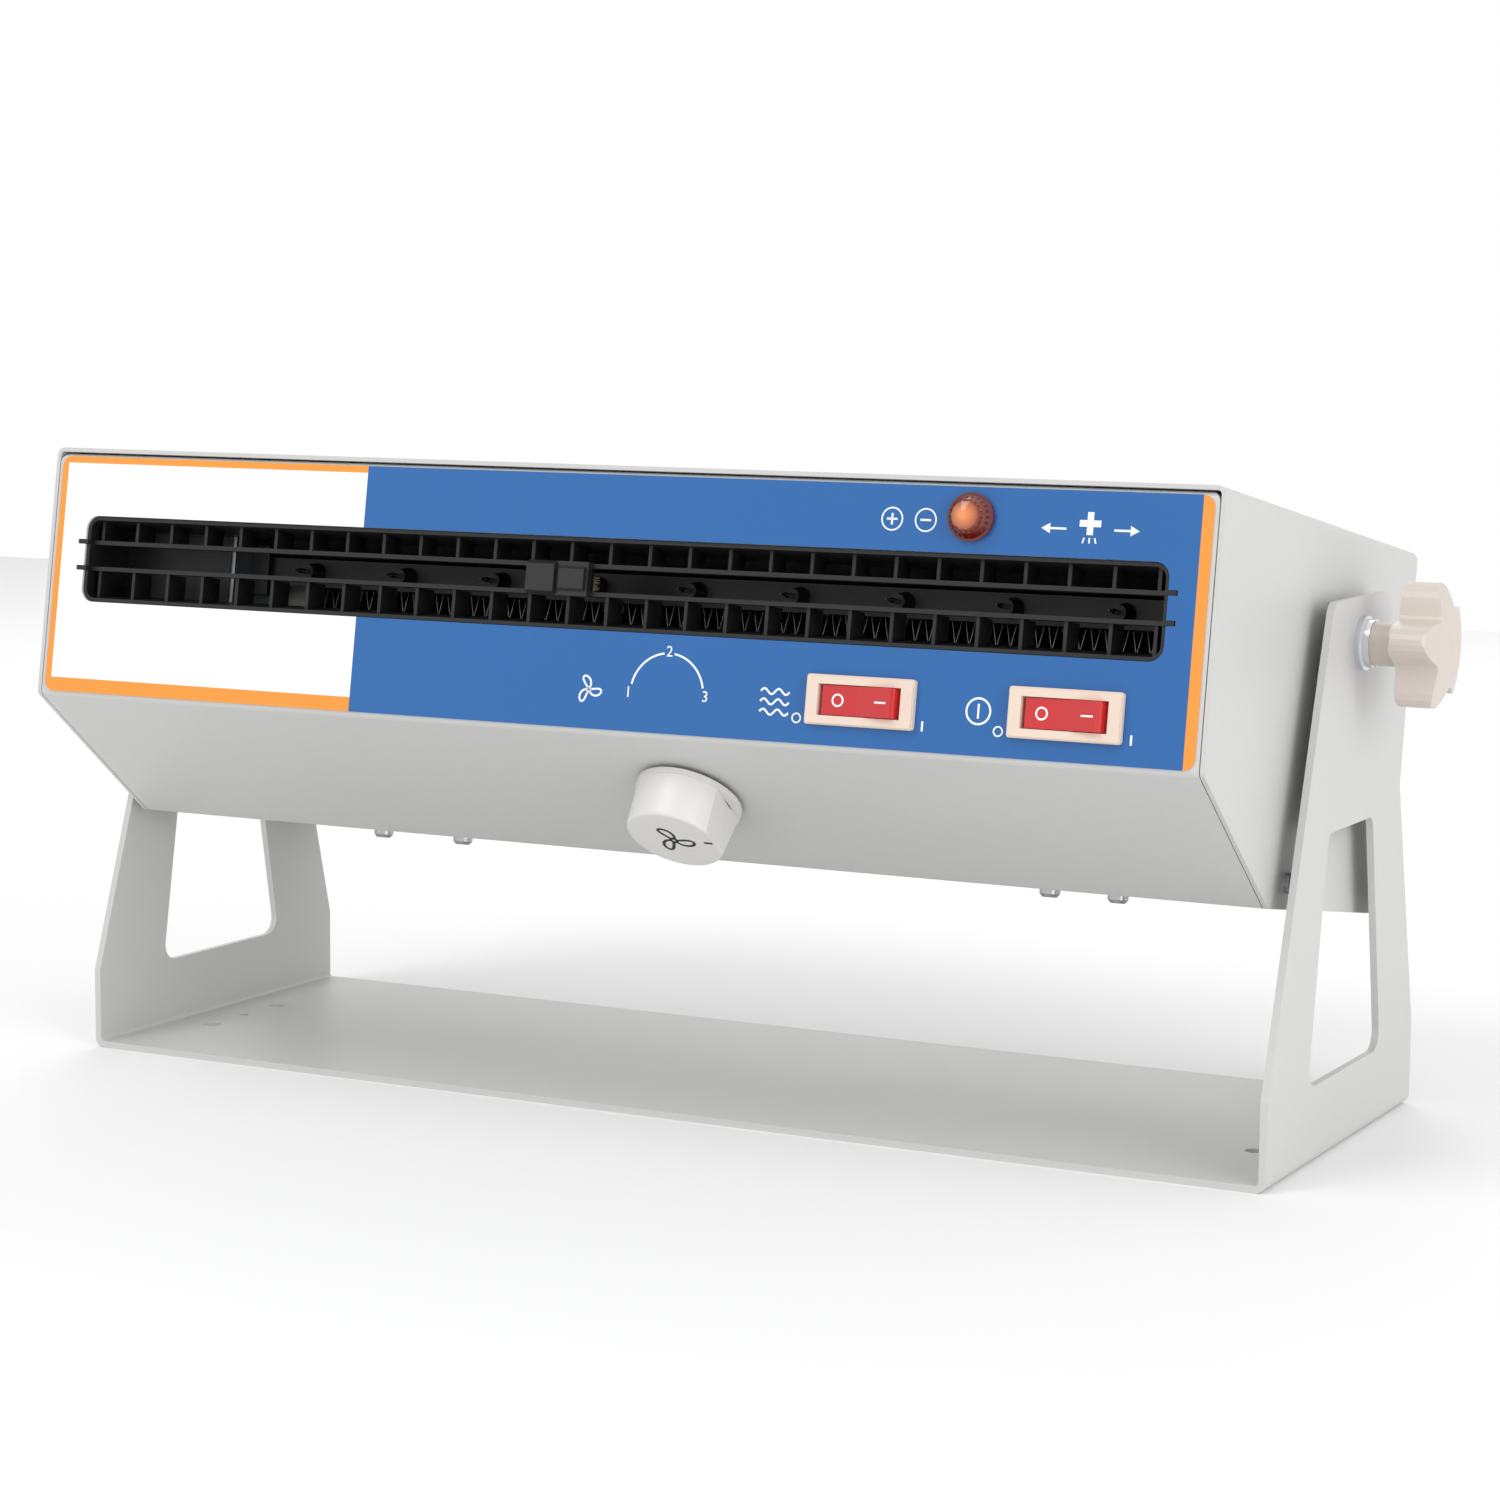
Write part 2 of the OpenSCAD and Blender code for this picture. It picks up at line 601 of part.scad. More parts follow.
module fan_tongue() color(steel) in_housing() translate([0, fan_y, fan_z]) along_x(fan_x0, fan_x1) {
    edge = polar(scroll_r + 1.5, tongue_angle);
    lip = [duct_y - fan_y, duct_z1 - fan_z];
    up = unit([-(edge - lip)[1], (edge - lip)[0]]) * scroll_t;
    polygon([lip, edge, edge + up, lip + up]);
    translate(edge + up / 2) circle(r = 1.5);
}

// The plates that carry the wheel stand on the chassis floor.
module end_plate(x) along_x(x, x + plate_t) difference() {
    rounded_outline([[duct_y, -5], [housing_d - 11, -5], [housing_d - 11, -housing_h + sheet_t],
        [slant_d + 4, -housing_h + sheet_t], [duct_y, -front_h + 2]], [3, 3, 0, 0, 0]);
    children();
}

module left_end_plate() color(steel) in_housing()
    end_plate(fan_x0 - plate_t) {
        translate([fan_y, fan_z]) {
            circle(r = 9);
            for (a = [45:90:315]) rotate(a) translate([motor_bolt_r, 0]) circle(r = 1.6);
        }
    }

module right_end_plate() color(steel) in_housing()
    end_plate(fan_x1) translate([fan_y, fan_z]) circle(r = bush_r);

blade_chord = 9;
blade_t = 0.9;
wheel_x0 = fan_x0 + 5;
wheel_x1 = fan_x1 - 6;
disc_t = 1.2;
disc_n = 5;

module blade_2d() {
    // part of a ring that curves from the wheel's rim inwards
    translate([wheel_r - blade_chord / 2 - 0.4, 0]) intersection() {
        translate([0, -6]) difference() {
            circle(r = 6 + blade_t / 2);
            circle(r = 6 - blade_t / 2);
        }
        translate([-blade_chord / 2, -3]) square([blade_chord, 6]);
    }
}

module fan_wheel() color(black) in_housing() translate([0, fan_y, fan_z]) difference() {
    union() {
        along_x(wheel_x0, wheel_x1) for (i = [0:blade_count - 1]) rotate(i * 360 / blade_count) blade_2d();
        for (i = [0:disc_n - 1]) let (x = wheel_x0 + i * (wheel_x1 - wheel_x0 - disc_t) / (disc_n - 1))
            along_x(x, x + disc_t) difference() {
                circle(r = wheel_r);
                if (i > 0 && i < disc_n - 1) circle(r = wheel_r - blade_chord - 1);
            }
        for (x = [wheel_x0, wheel_x1 - 8]) along_x(x, x + 8) circle(r = 7);
    }
    along_x(wheel_x0 - 1, wheel_x1 + 1) circle(r = shaft_r);
}

module fan_shaft() color(steel) in_housing() translate([0, fan_y, fan_z])
    along_x(fan_x0 - plate_t - motor_l + 4, fan_x1 + plate_t + 4) circle(r = shaft_r);

motor_bolt_r = motor_r - 6;
bush_r = 9;

module motor_body() color([0.55, 0.56, 0.58]) in_housing() translate([fan_x0 - plate_t, fan_y, fan_z]) rotate([0, -90, 0])
    difference() {
        cylinder(r = motor_r, h = motor_l - 5);
        translate([0, 0, -1]) cylinder(r = shaft_r + fit, h = motor_l + 2);
        for (a = [45:90:315]) rotate([0, 0, a]) translate([motor_bolt_r, 0, -1]) cylinder(r = 1.5, h = 8);
    }

module motor_cap() color([0.4, 0.41, 0.43]) in_housing()
    translate([fan_x0 - plate_t - motor_l + 5, fan_y, fan_z]) rotate([0, -90, 0]) difference() {
        union() {
            cylinder(r = motor_r - 1, h = 3);
            cylinder(r = 10, h = 7);
        }
        translate([0, 0, -1]) cylinder(r = shaft_r + fit, h = 5);
    }

module motor_screws() color(steel) in_housing() translate([fan_x0, fan_y, fan_z]) rotate([0, 90, 0])
    for (a = [45:90:315]) rotate([0, 0, a]) translate([motor_bolt_r, 0, 0]) screw(2.8, 1.8, 1.5, 7);

module bearing_bush() color(black) in_housing() translate([fan_x1, fan_y, fan_z]) rotate([0, 90, 0]) difference() {
    union() {
        translate([0, 0, -2]) cylinder(r = bush_r + 2, h = 2);
        cylinder(r = bush_r, h = plate_t);
        translate([0, 0, plate_t]) cylinder(r = bush_r + 2, h = 2);
    }
    translate([0, 0, -3]) cylinder(r = 5.5, h = plate_t + 6);
}

module bearing_sleeve() color([0.7, 0.55, 0.3]) in_housing() translate([fan_x1, fan_y, fan_z]) rotate([0, 90, 0])
    difference() {
        translate([0, 0, -2]) cylinder(r = 5.5, h = plate_t + 4);
        translate([0, 0, -3]) cylinder(r = shaft_r + fit, h = plate_t + 6);
    }

// ---------- heater ----------

heater_y = 46;
heater_d = 13;
heater_z = -43;
heater_x0 = fan_x0 + 8;
heater_x1 = fan_x1 - 8;
fin_h = 10;
fin_pitch = 4;
fin_n = floor((heater_x1 - heater_x0 - 4) / fin_pitch);

module heater_core() color([0.6, 0.6, 0.62]) in_housing()
    translate([heater_x0, heater_y, heater_z - 2]) cube([heater_x1 - heater_x0, heater_d, 4]);

// one corrugated strip above the core and one below it
module heater_fins() color(steel) in_housing() for (side = [-1, 1])
    translate([heater_x0 + 2, 0, heater_z + side * (2 + fin_h / 2)]) along_y(heater_y, heater_y + heater_d)
        polygon(concat(
            [for (i = [0:2 * fin_n]) [i * fin_pitch / 2, (i % 2 == 0 ? -1 : 1) * (fin_h / 2 - 0.25) + 0.25]],
            [for (i = [2 * fin_n:-1:0]) [i * fin_pitch / 2, (i % 2 == 0 ? -1 : 1) * (fin_h / 2 - 0.25) - 0.25]]));

module heater_frames() color(white) in_housing() for (x = [fan_x0, heater_x1])
    translate([x, heater_y - 1, heater_z - fin_h - 3]) cube([8, heater_d + 2, 2 * fin_h + 6]);

// ---------- intake ----------

filter_size = [208, 5, 72];

module intake_filter() color([0.2, 0.2, 0.21]) in_housing()
    translate([rear_slot_x - filter_size[0] / 2, housing_d - sheet_t - filter_size[1], -48 - filter_size[2] / 2])
        cube(filter_size);

module filter_clips() color(steel) in_housing() for (side = [-1, 1])
    translate([rear_slot_x + side * (filter_size[0] / 2 + 1.5), housing_d - sheet_t, -48])
        along_y(-filter_size[1] - 1, 0) difference() {
            square([3, filter_size[2]], center = true);
        }

// ---------- fan speed control ----------

knob_gap = 1.2;                     // knob above the slanted face
skirt_h = 1.6;
knob_taper = 1.4;
knob_flat = 2.8;
knob_shaft_r = 3;
knob_shaft_l = 9;
switch_can_h = 13;

// Tapered knob with a thin skirt and a flat beside its pointer.
module speed_knob() color(white) on_slant(speed_x, speed_s) translate([0, 0, knob_gap]) difference() {
    union() {
        cylinder(r = speed_knob_r, h = skirt_h);
        translate([0, 0, skirt_h]) difference() {
            rotate_extrude() polygon(rounded([[0, 0], [speed_knob_r - 0.4, 0],
                [speed_knob_r - knob_taper, speed_knob_h - skirt_h], [0, speed_knob_h - skirt_h]], [0, 0, 1, 0], 3));
            translate([speed_knob_r - knob_flat, -speed_knob_r, -1]) cube([speed_knob_r, 2 * speed_knob_r, speed_knob_h]);
        }
    }
    translate([0, 0, -1]) cylinder(r = knob_shaft_r, h = knob_shaft_l + 1);
    translate([0, 0, -1]) difference() {
        cylinder(r = speed_knob_r - 2.5, h = 7);
        cylinder(r = knob_shaft_r + 2.5, h = 8);
    }
}

module speed_spindle() color(steel) on_slant(speed_x, speed_s)
    translate([0, 0, -sheet_t - 10]) cylinder(r = knob_shaft_r, h = sheet_t + 10 + knob_gap + knob_shaft_l);

module speed_switch() color([0.25, 0.25, 0.27]) on_slant(speed_x, speed_s) difference() {
    union() {
        translate([0, 0, -sheet_t - switch_can_h]) cylinder(r = 12, h = switch_can_h);
        translate([0, 0, -sheet_t]) cylinder(r = speed_hole_r - seat, h = sheet_t + knob_gap - 0.2);
    }
    translate([0, 0, -sheet_t - 10.3]) cylinder(r = knob_shaft_r + fit, h = 20);
    for (a = [-60, 0, 60]) rotate([0, 0, a]) translate([10.8, -1.5, -sheet_t - switch_can_h - 1]) cube([3, 3, 5]);
}

module speed_nut() color(steel) on_slant(speed_x, speed_s) hex_nut(12, knob_gap - 0.3, speed_hole_r - seat);

// ---------- rocker switches ----------

rocker_pivot = 2;
rocker_r = 11.4;
rocker_h = 7.8;
rocker_throw = 8;
rocker_open = [23.6, 8.2];
switch_d = 20;
bezel_front = 2.4;

module switch_case(x) color(white) on_front(x, switch_drop) difference() {
    union() {
        translate([0, 0, label_t]) linear_extrude(height = bezel_front - label_t - 0.5)
            rounded_rect(bezel_w, bezel_h, 0.8);
        translate([0, 0, bezel_front - 0.5]) linear_extrude(height = 0.5)
            rounded_rect(bezel_w - 0.8, bezel_h - 0.8, 0.6);
        translate([0, 0, (label_t - switch_d) / 2])
            cube([switch_cut[0] - 2 * seat, switch_cut[1] - 2 * seat, switch_d + label_t], center = true);
    }
    translate([0, 0, bezel_front + 1 - 7]) cube([rocker_open[0], rocker_open[1], 14], center = true);
    translate([0, 0, -rocker_pivot]) rotate([90, 0, 0]) cylinder(r = 1 + fit, h = 10.4, center = true);
}

module rocker(x) color(red) on_front(x, switch_drop) translate([0, 0, -rocker_pivot]) rotate([0, -rocker_throw, 0])
    rotate([90, 0, 0]) {
        translate([0, 0, -rocker_h / 2]) linear_extrude(height = rocker_h) intersection() {
            circle(r = rocker_r);
            polygon([[-12, 5.3], [0, 4.1], [12, 5.3], [12, 0], [5, -5], [-5, -5], [-12, 0]]);
        }
        cylinder(r = 1, h = rocker_h + 2.2, center = true);
    }

module switch_terminals() color(steel) for (x = [warm_x, power_x], i = [-1, 0, 1])
    on_front(x, switch_drop) translate([i * 9 - 0.4, -3, -switch_d - 7]) cube([0.8, 6, 7]);

// ---------- lamp ----------

module lamp_lens() color([0.85, 0.12, 0.05]) on_front(lamp_x, lamp_drop) translate([0, 0, label_t]) {
    cylinder(r = lamp_r, h = 1.4);
    translate([0, 0, 1.4]) cylinder(r1 = lamp_r - 0.6, r2 = lamp_r - 1.9, h = 2);
    translate([0, 0, 3.4]) cylinder(r1 = lamp_r - 2.1, r2 = lamp_r - 2.6, h = 1.8, $fn = 10);
    translate([0, 0, 5.2]) cylinder(r1 = lamp_r - 2.6, r2 = 1.2, h = 1.2, $fn = 10);
}

module lamp_body() color(black) on_front(lamp_x, lamp_drop) translate([0, 0, label_t - 18])
    difference() {
        cylinder(r = lamp_hole_r - 0.1, h = 18);
        for (x = [-1.4, 1.4]) translate([x, 0, -1]) cylinder(r = 0.5, h = 3);
    }

module lamp_nut() color(white) on_front(lamp_x, lamp_drop) translate([0, 0, -sheet_t - 2]) hex_nut(10, 2, lamp_hole_r - 0.1);

// ---------- mains inlet ----------

inlet_body = [27, 19.6];

// On the rear face: X to the left seen from behind, Y up, Z out of the face.
module on_rear(x, drop) {
    in_housing() translate([x, housing_d, -drop]) rotate([90, 0, 180]) children();
}

module power_inlet() color(black) on_rear(inlet_x, inlet_drop) difference() {
    union() {
        linear_extrude(height = 2.5) {
            rounded_rect(30, 23, 3);
            difference() {
                rounded_rect(50, 12, 5.9);
                for (end = [-1, 1]) translate([end * 20, 0]) circle(r = screw_r + seat);
            }
        }
        translate([0, 0, -18]) linear_extrude(height = 19) rounded_rect(inlet_body[0], inlet_body[1], 2);
    }
    translate([0, 0, -14]) linear_extrude(height = 18)
        rounded_outline([[-12, -8.15], [-12, 3.2], [-7, 8.15], [7, 8.15], [12, 3.2], [12, -8.15]], [1, 1, 1, 1, 1, 1]);
}

module inlet_pins() color([0.8, 0.78, 0.7]) on_rear(inlet_x, inlet_drop)
    for (p = [[-7, -2], [7, -2], [0, 2]]) {
        translate([p[0] - 1, p[1] - 2, -14]) cube([2, 4, 10]);
        translate([p[0] - 0.4, p[1] - 2, -25]) cube([0.8, 4, 7]);
    }

module inlet_screws() color(steel) on_rear(inlet_x, inlet_drop)
    for (end = [-1, 1]) translate([end * 20, 0, 2.5]) screw(2.7, 1.8, screw_r, 9);

// ---------- electronics on the chassis floor ----------

floor_z = -housing_h + sheet_t;

module high_voltage_module() color([0.1, 0.1, 0.11]) in_housing() difference() {
    union() {
        translate([module_x - 28, slant_d + 6, floor_z]) cube([56, 32, 14]);
        translate([module_x - 10, slant_d + 11, floor_z + 14]) cube([20, 10, 2]);
    }
    for (x = [-1, 1]) translate([module_x + x * module_pitch / 2, tray_screw_y, floor_z - 1])
        cylinder(r = screw_r, h = 6);
}

module control_board() color([0.1, 0.4, 0.2]) in_housing() difference() {
    translate([board_x - 32, slant_d + 6, floor_z + 4]) cube([64, 34, 1.6]);
    for (x = [-1, 1]) translate([board_x + x * board_pitch / 2, tray_screw_y, floor_z])
        cylinder(r = screw_r, h = 8);
}

module board_parts() color(black) in_housing() {
    for (x = [-1, 1]) translate([board_x + x * board_pitch / 2, tray_screw_y, floor_z]) difference() {
        cylinder(r = 3, h = 4);
        translate([0, 0, -1]) cylinder(r = screw_r, h = 6);
    }
    translate([board_x - 26, slant_d + 10, floor_z + 5.6]) cube([12, 12, 8]);
    translate([board_x + 24, slant_d + 14, floor_z + 5.6]) cylinder(r = 4, h = 8);
    translate([board_x - 4, slant_d + 27, floor_z + 5.6]) cube([14, 6, 5]);
}

stand_bracket();
spacer(-1);  // left_spacer
spacer(1);  // right_spacer
pivot_nut(-1);  // left_pivot_nut
pivot_nut(1);  // right_pivot_nut
clamp_knob(-1);  // left_clamp_knob
clamp_knob(1);  // right_clamp_knob
clamp_stud(-1);  // left_clamp_stud
clamp_stud(1);  // right_clamp_stud
clamp_washers(-1);  // left_clamp_washers
clamp_washers(1);  // right_clamp_washers
chassis();
cover();
front_label();
cover_screws();
tray_screws();
outlet_grille();
cleaner_slider();
cleaner_brush();
emitter_bar();
emitter_needles();
emitter_brackets();
duct_blank();
fan_scroll();
fan_tongue();
left_end_plate();
right_end_plate();
fan_wheel();
fan_shaft();
motor_body();
motor_cap();
motor_screws();
bearing_bush();
bearing_sleeve();
heater_core();
heater_fins();
heater_frames();
intake_filter();
filter_clips();
speed_knob();
speed_spindle();
speed_switch();
speed_nut();
switch_case(warm_x);  // warm_switch
rocker(warm_x);  // warm_rocker
switch_case(power_x);  // power_switch
rocker(power_x);  // power_rocker
switch_terminals();
lamp_lens();
lamp_body();
lamp_nut();
power_inlet();
inlet_pins();
inlet_screws();
high_voltage_module();
control_board();
board_parts();
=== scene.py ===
import bpy
import bmesh
import json
import math
from mathutils import Matrix, Vector
from mathutils.bvhtree import BVHTree


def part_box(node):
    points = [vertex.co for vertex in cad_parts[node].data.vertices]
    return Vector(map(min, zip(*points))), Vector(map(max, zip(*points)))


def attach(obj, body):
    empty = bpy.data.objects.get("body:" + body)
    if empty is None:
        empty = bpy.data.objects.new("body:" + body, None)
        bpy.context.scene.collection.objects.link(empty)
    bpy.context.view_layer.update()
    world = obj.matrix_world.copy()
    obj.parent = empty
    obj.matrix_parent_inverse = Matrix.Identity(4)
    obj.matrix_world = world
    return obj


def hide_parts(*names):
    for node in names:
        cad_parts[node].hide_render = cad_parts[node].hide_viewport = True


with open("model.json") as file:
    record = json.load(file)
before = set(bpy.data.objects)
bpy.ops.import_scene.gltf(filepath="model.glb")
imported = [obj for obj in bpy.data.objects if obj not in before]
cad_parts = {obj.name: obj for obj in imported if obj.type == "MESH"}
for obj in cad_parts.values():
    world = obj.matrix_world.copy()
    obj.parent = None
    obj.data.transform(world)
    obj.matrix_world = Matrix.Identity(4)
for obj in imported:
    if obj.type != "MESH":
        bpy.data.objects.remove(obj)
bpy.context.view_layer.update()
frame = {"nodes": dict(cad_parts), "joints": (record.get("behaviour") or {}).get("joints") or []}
nodes = frame["nodes"]
joints = {joint["name"]: joint for joint in frame["joints"]}
print("stage: frame loaded,", len(nodes), "nodes")

mm = 0.001

# The housing's front face is worked out from the joints that the frame holds.
pivotPlace = {"behindFront": 96 * mm, "belowTop": 31 * mm}
filmThickness = 0.4 * mm
tiltPivot = Vector(joints["housing_tilt"]["pos_m"])
faceUp = Vector(joints["power_rock"]["axis"]).normalized()
tiltAngle = math.atan2(faceUp.y, faceUp.z)
faceIn = Vector((0, math.cos(tiltAngle), -math.sin(tiltAngle)))
frontTop = tiltPivot - faceIn * pivotPlace["behindFront"] + faceUp * pivotPlace["belowTop"]


def frontPlace(x, drop, out=filmThickness):  # X right, Y up, Z out of the front face
    origin = frontTop + Vector((x * mm, 0, 0)) - faceUp * (drop * mm) - faceIn * out
    return Matrix((
        (1, 0, 0, origin.x),
        (0, faceUp.y, -faceIn.y, origin.y),
        (0, faceUp.z, -faceIn.z, origin.z),
        (0, 0, 0, 1)))


def axisPlace(origin, outwards, right=Vector((1, 0, 0))):
    zAxis = Vector(outwards).normalized()
    yAxis = zAxis.cross(right).normalized()
    xAxis = yAxis.cross(zAxis)
    return Matrix((
        (xAxis.x, yAxis.x, zAxis.x, origin[0]),
        (xAxis.y, yAxis.y, zAxis.y, origin[1]),
        (xAxis.z, yAxis.z, zAxis.z, origin[2]),
        (0, 0, 0, 1)))


def addObject(name, data):
    thing = bpy.data.objects.new(name, data)
    bpy.context.scene.collection.objects.link(thing)
    return thing


# Camera and studio

cameraSetup = {"place": (0.4819, -0.9246, 0.2252), "turn": 27.31, "dip": 7.02, "roll": 0.55, "lens": 86.01}
studio = {
    "worldLight": 0.8, "middle": (0, 0, 0.1), "floorTone": 0.93, "floorRoughness": 0.9,
    "floorSide": 2.2, "floorFront": -2.2, "floorBack": 1.6}
studioLights = {
    "keyLight": {"place": (-0.5, -1.1, 1.5), "size": 1.0, "energy": 8},
    "fillLight": {"place": (1.5, -0.7, 0.6), "size": 1.2, "energy": 9},
    "rimLight": {"place": (-0.6, 1.3, 1.2), "size": 1.0, "energy": 5}}


def makeCamera():
    data = bpy.data.cameras.new("camera")
    data.lens = cameraSetup["lens"]
    data.sensor_width = 36
    data.clip_start = 0.01
    camera = addObject("camera", data)
    turn = Matrix.Rotation(math.radians(cameraSetup["turn"]), 4, "Z")
    dip = Matrix.Rotation(math.radians(90 - cameraSetup["dip"]), 4, "X")
    roll = Matrix.Rotation(math.radians(cameraSetup["roll"]), 4, "Z")
    camera.matrix_world = Matrix.Translation(cameraSetup["place"]) @ turn @ dip @ roll
    bpy.context.scene.camera = camera


def makeLight(name, place, size, energy):
    data = bpy.data.lights.new(name, "AREA")
    data.shape = "DISK"
    data.size = size
    data.energy = energy
    light = addObject(name, data)
    light.location = place
    light.rotation_euler = (Vector(studio["middle"]) - Vector(place)).to_track_quat("-Z", "Y").to_euler()


def makeWorld():  # soft light on the part, plain white where it is looked at
    world = bpy.data.worlds.new("studio")
    bpy.context.scene.world = world
    world.use_nodes = True
    tree = world.node_tree
    tree.nodes.clear()
    path = tree.nodes.new("ShaderNodeLightPath")
    seen = path.outputs["Is Camera Ray"]
    for ray in ("Is Glossy Ray", "Is Transmission Ray"):
        either = tree.nodes.new("ShaderNodeMath")
        either.operation = "MAXIMUM"
        tree.links.new(seen, either.inputs[0])
        tree.links.new(path.outputs[ray], either.inputs[1])
        seen = either.outputs[0]
    mix = tree.nodes.new("ShaderNodeMixShader")
    tree.links.new(seen, mix.inputs[0])
    for index, strength in ((1, studio["worldLight"]), (2, 1.0)):
        background = tree.nodes.new("ShaderNodeBackground")
        background.inputs["Color"].default_value = (1, 1, 1, 1)
        background.inputs["Strength"].default_value = strength
        tree.links.new(background.outputs[0], mix.inputs[index])
    out = tree.nodes.new("ShaderNodeOutputWorld")
    tree.links.new(mix.outputs[0], out.inputs[0])
    bpy.context.scene.view_settings.view_transform = "Standard"


def makeFloor():
    mesh = bpy.data.meshes.new("floor")
    side, front, back = studio["floorSide"], studio["floorFront"], studio["floorBack"]
    mesh.from_pydata([(-side, front, 0), (side, front, 0), (side, back, 0), (-side, back, 0)], [], [(0, 1, 2, 3)])
    floor = addObject("floor", mesh)
    material = bpy.data.materials.new("floorPaint")
    material.use_nodes = True
    shader = material.node_tree.nodes["Principled BSDF"]
    shader.inputs["Base Color"].default_value = (*[studio["floorTone"]] * 3, 1)
    shader.inputs["Roughness"].default_value = studio["floorRoughness"]
    mesh.materials.append(material)


makeCamera()
for lightName, light in studioLights.items():
    makeLight(lightName, **light)
makeWorld()
makeFloor()
print("stage: camera and studio ready")

# Shared shader groups

grainLook = {"driftScale": 14.0, "speckShare": 0.6, "depth": 0.0004}
streakLook = {"lineScale": 1500.0, "cloudScale": 60.0, "depth": 0.0002, "strength": 0.12}


def newGroup(name, inputs, outputs):
    group = bpy.data.node_groups.new(name, "ShaderNodeTree")
    for label, kind, value in inputs:
        socket = group.interface.new_socket(name=label, in_out="INPUT", socket_type=kind)
        socket.default_value = value
    for label, kind in outputs:
        group.interface.new_socket(name=label, in_out="OUTPUT", socket_type=kind)
    return group, group.nodes.new("NodeGroupInput"), group.nodes.new("NodeGroupOutput")


def addNode(tree, kind, **settings):
    node = tree.nodes.new(kind)
    for key, value in settings.items():
        setattr(node, key, value)
    return node


def feed(tree, socket, value):  # a plain value is set, another node's output is linked
    if isinstance(value, bpy.types.NodeSocket):
        tree.links.new(value, socket)
    else:
        socket.default_value = value


def noiseNode(tree, vector, scale, detail=4.0):
    noise = addNode(tree, "ShaderNodeTexNoise")
    noise.inputs["Detail"].default_value = detail
    noise.inputs["Roughness"].default_value = 0.55
    tree.links.new(vector, noise.inputs["Vector"])
    feed(tree, noise.inputs["Scale"], scale)
    return noise.outputs["Fac"]


def mathNode(tree, operation, first, second, clamp=False):
    node = addNode(tree, "ShaderNodeMath", operation=operation, use_clamp=clamp)
    feed(tree, node.inputs[0], first)
    feed(tree, node.inputs[1], second)
    return node.outputs[0]


def mixColour(tree, factor, first, second):
    mix = addNode(tree, "ShaderNodeMix", data_type="RGBA")
    for index, value in ((0, factor), (6, first), (7, second)):
        feed(tree, mix.inputs[index], value)
    return mix.outputs[2]


def scaledColour(tree, colour, level):
    scaled = addNode(tree, "ShaderNodeVectorMath", operation="SCALE")
    tree.links.new(colour, scaled.inputs[0])
    tree.links.new(level, scaled.inputs["Scale"])
    return scaled.outputs[0]


def makeSurfaceGroup():  # slow colour drift, fine grain and a bumped normal, for moulded and coated surfaces
    group, into, out = newGroup("surfaceGrain", [
        ("Color", "NodeSocketColor", (0.5, 0.5, 0.5, 1)),
        ("Drift", "NodeSocketFloat", 0.04),
        ("Grain Scale", "NodeSocketFloat", 900.0),
        ("Roughness", "NodeSocketFloat", 0.45),
        ("Roughness Spread", "NodeSocketFloat", 0.1),
        ("Bump", "NodeSocketFloat", 0.05)],
        [("Color", "NodeSocketColor"), ("Roughness", "NodeSocketFloat"), ("Normal", "NodeSocketVector")])
    links = group.links
    place = addNode(group, "ShaderNodeTexCoord").outputs["Object"]
    slow = noiseNode(group, place, grainLook["driftScale"], 5.0)
    fine = noiseNode(group, place, into.outputs["Grain Scale"], 3.0)
    slowOffset = mathNode(group, "SUBTRACT", slow, 0.5)
    drift = mathNode(group, "MULTIPLY", slowOffset, into.outputs["Drift"])
    speckSize = mathNode(group, "MULTIPLY", into.outputs["Drift"], grainLook["speckShare"])
    speck = mathNode(group, "MULTIPLY", mathNode(group, "SUBTRACT", fine, 0.5), speckSize)
    level = mathNode(group, "ADD", mathNode(group, "ADD", drift, speck), 1.0)
    links.new(scaledColour(group, into.outputs["Color"], level), out.inputs["Color"])
    rough = mathNode(group, "MULTIPLY", slowOffset, into.outputs["Roughness Spread"])
    links.new(mathNode(group, "ADD", into.outputs["Roughness"], rough, True), out.inputs["Roughness"])
    bump = addNode(group, "ShaderNodeBump")
    bump.inputs["Distance"].default_value = grainLook["depth"]
    links.new(into.outputs["Bump"], bump.inputs["Strength"])
    links.new(fine, bump.inputs["Height"])
    links.new(bump.outputs[0], out.inputs["Normal"])
    return group


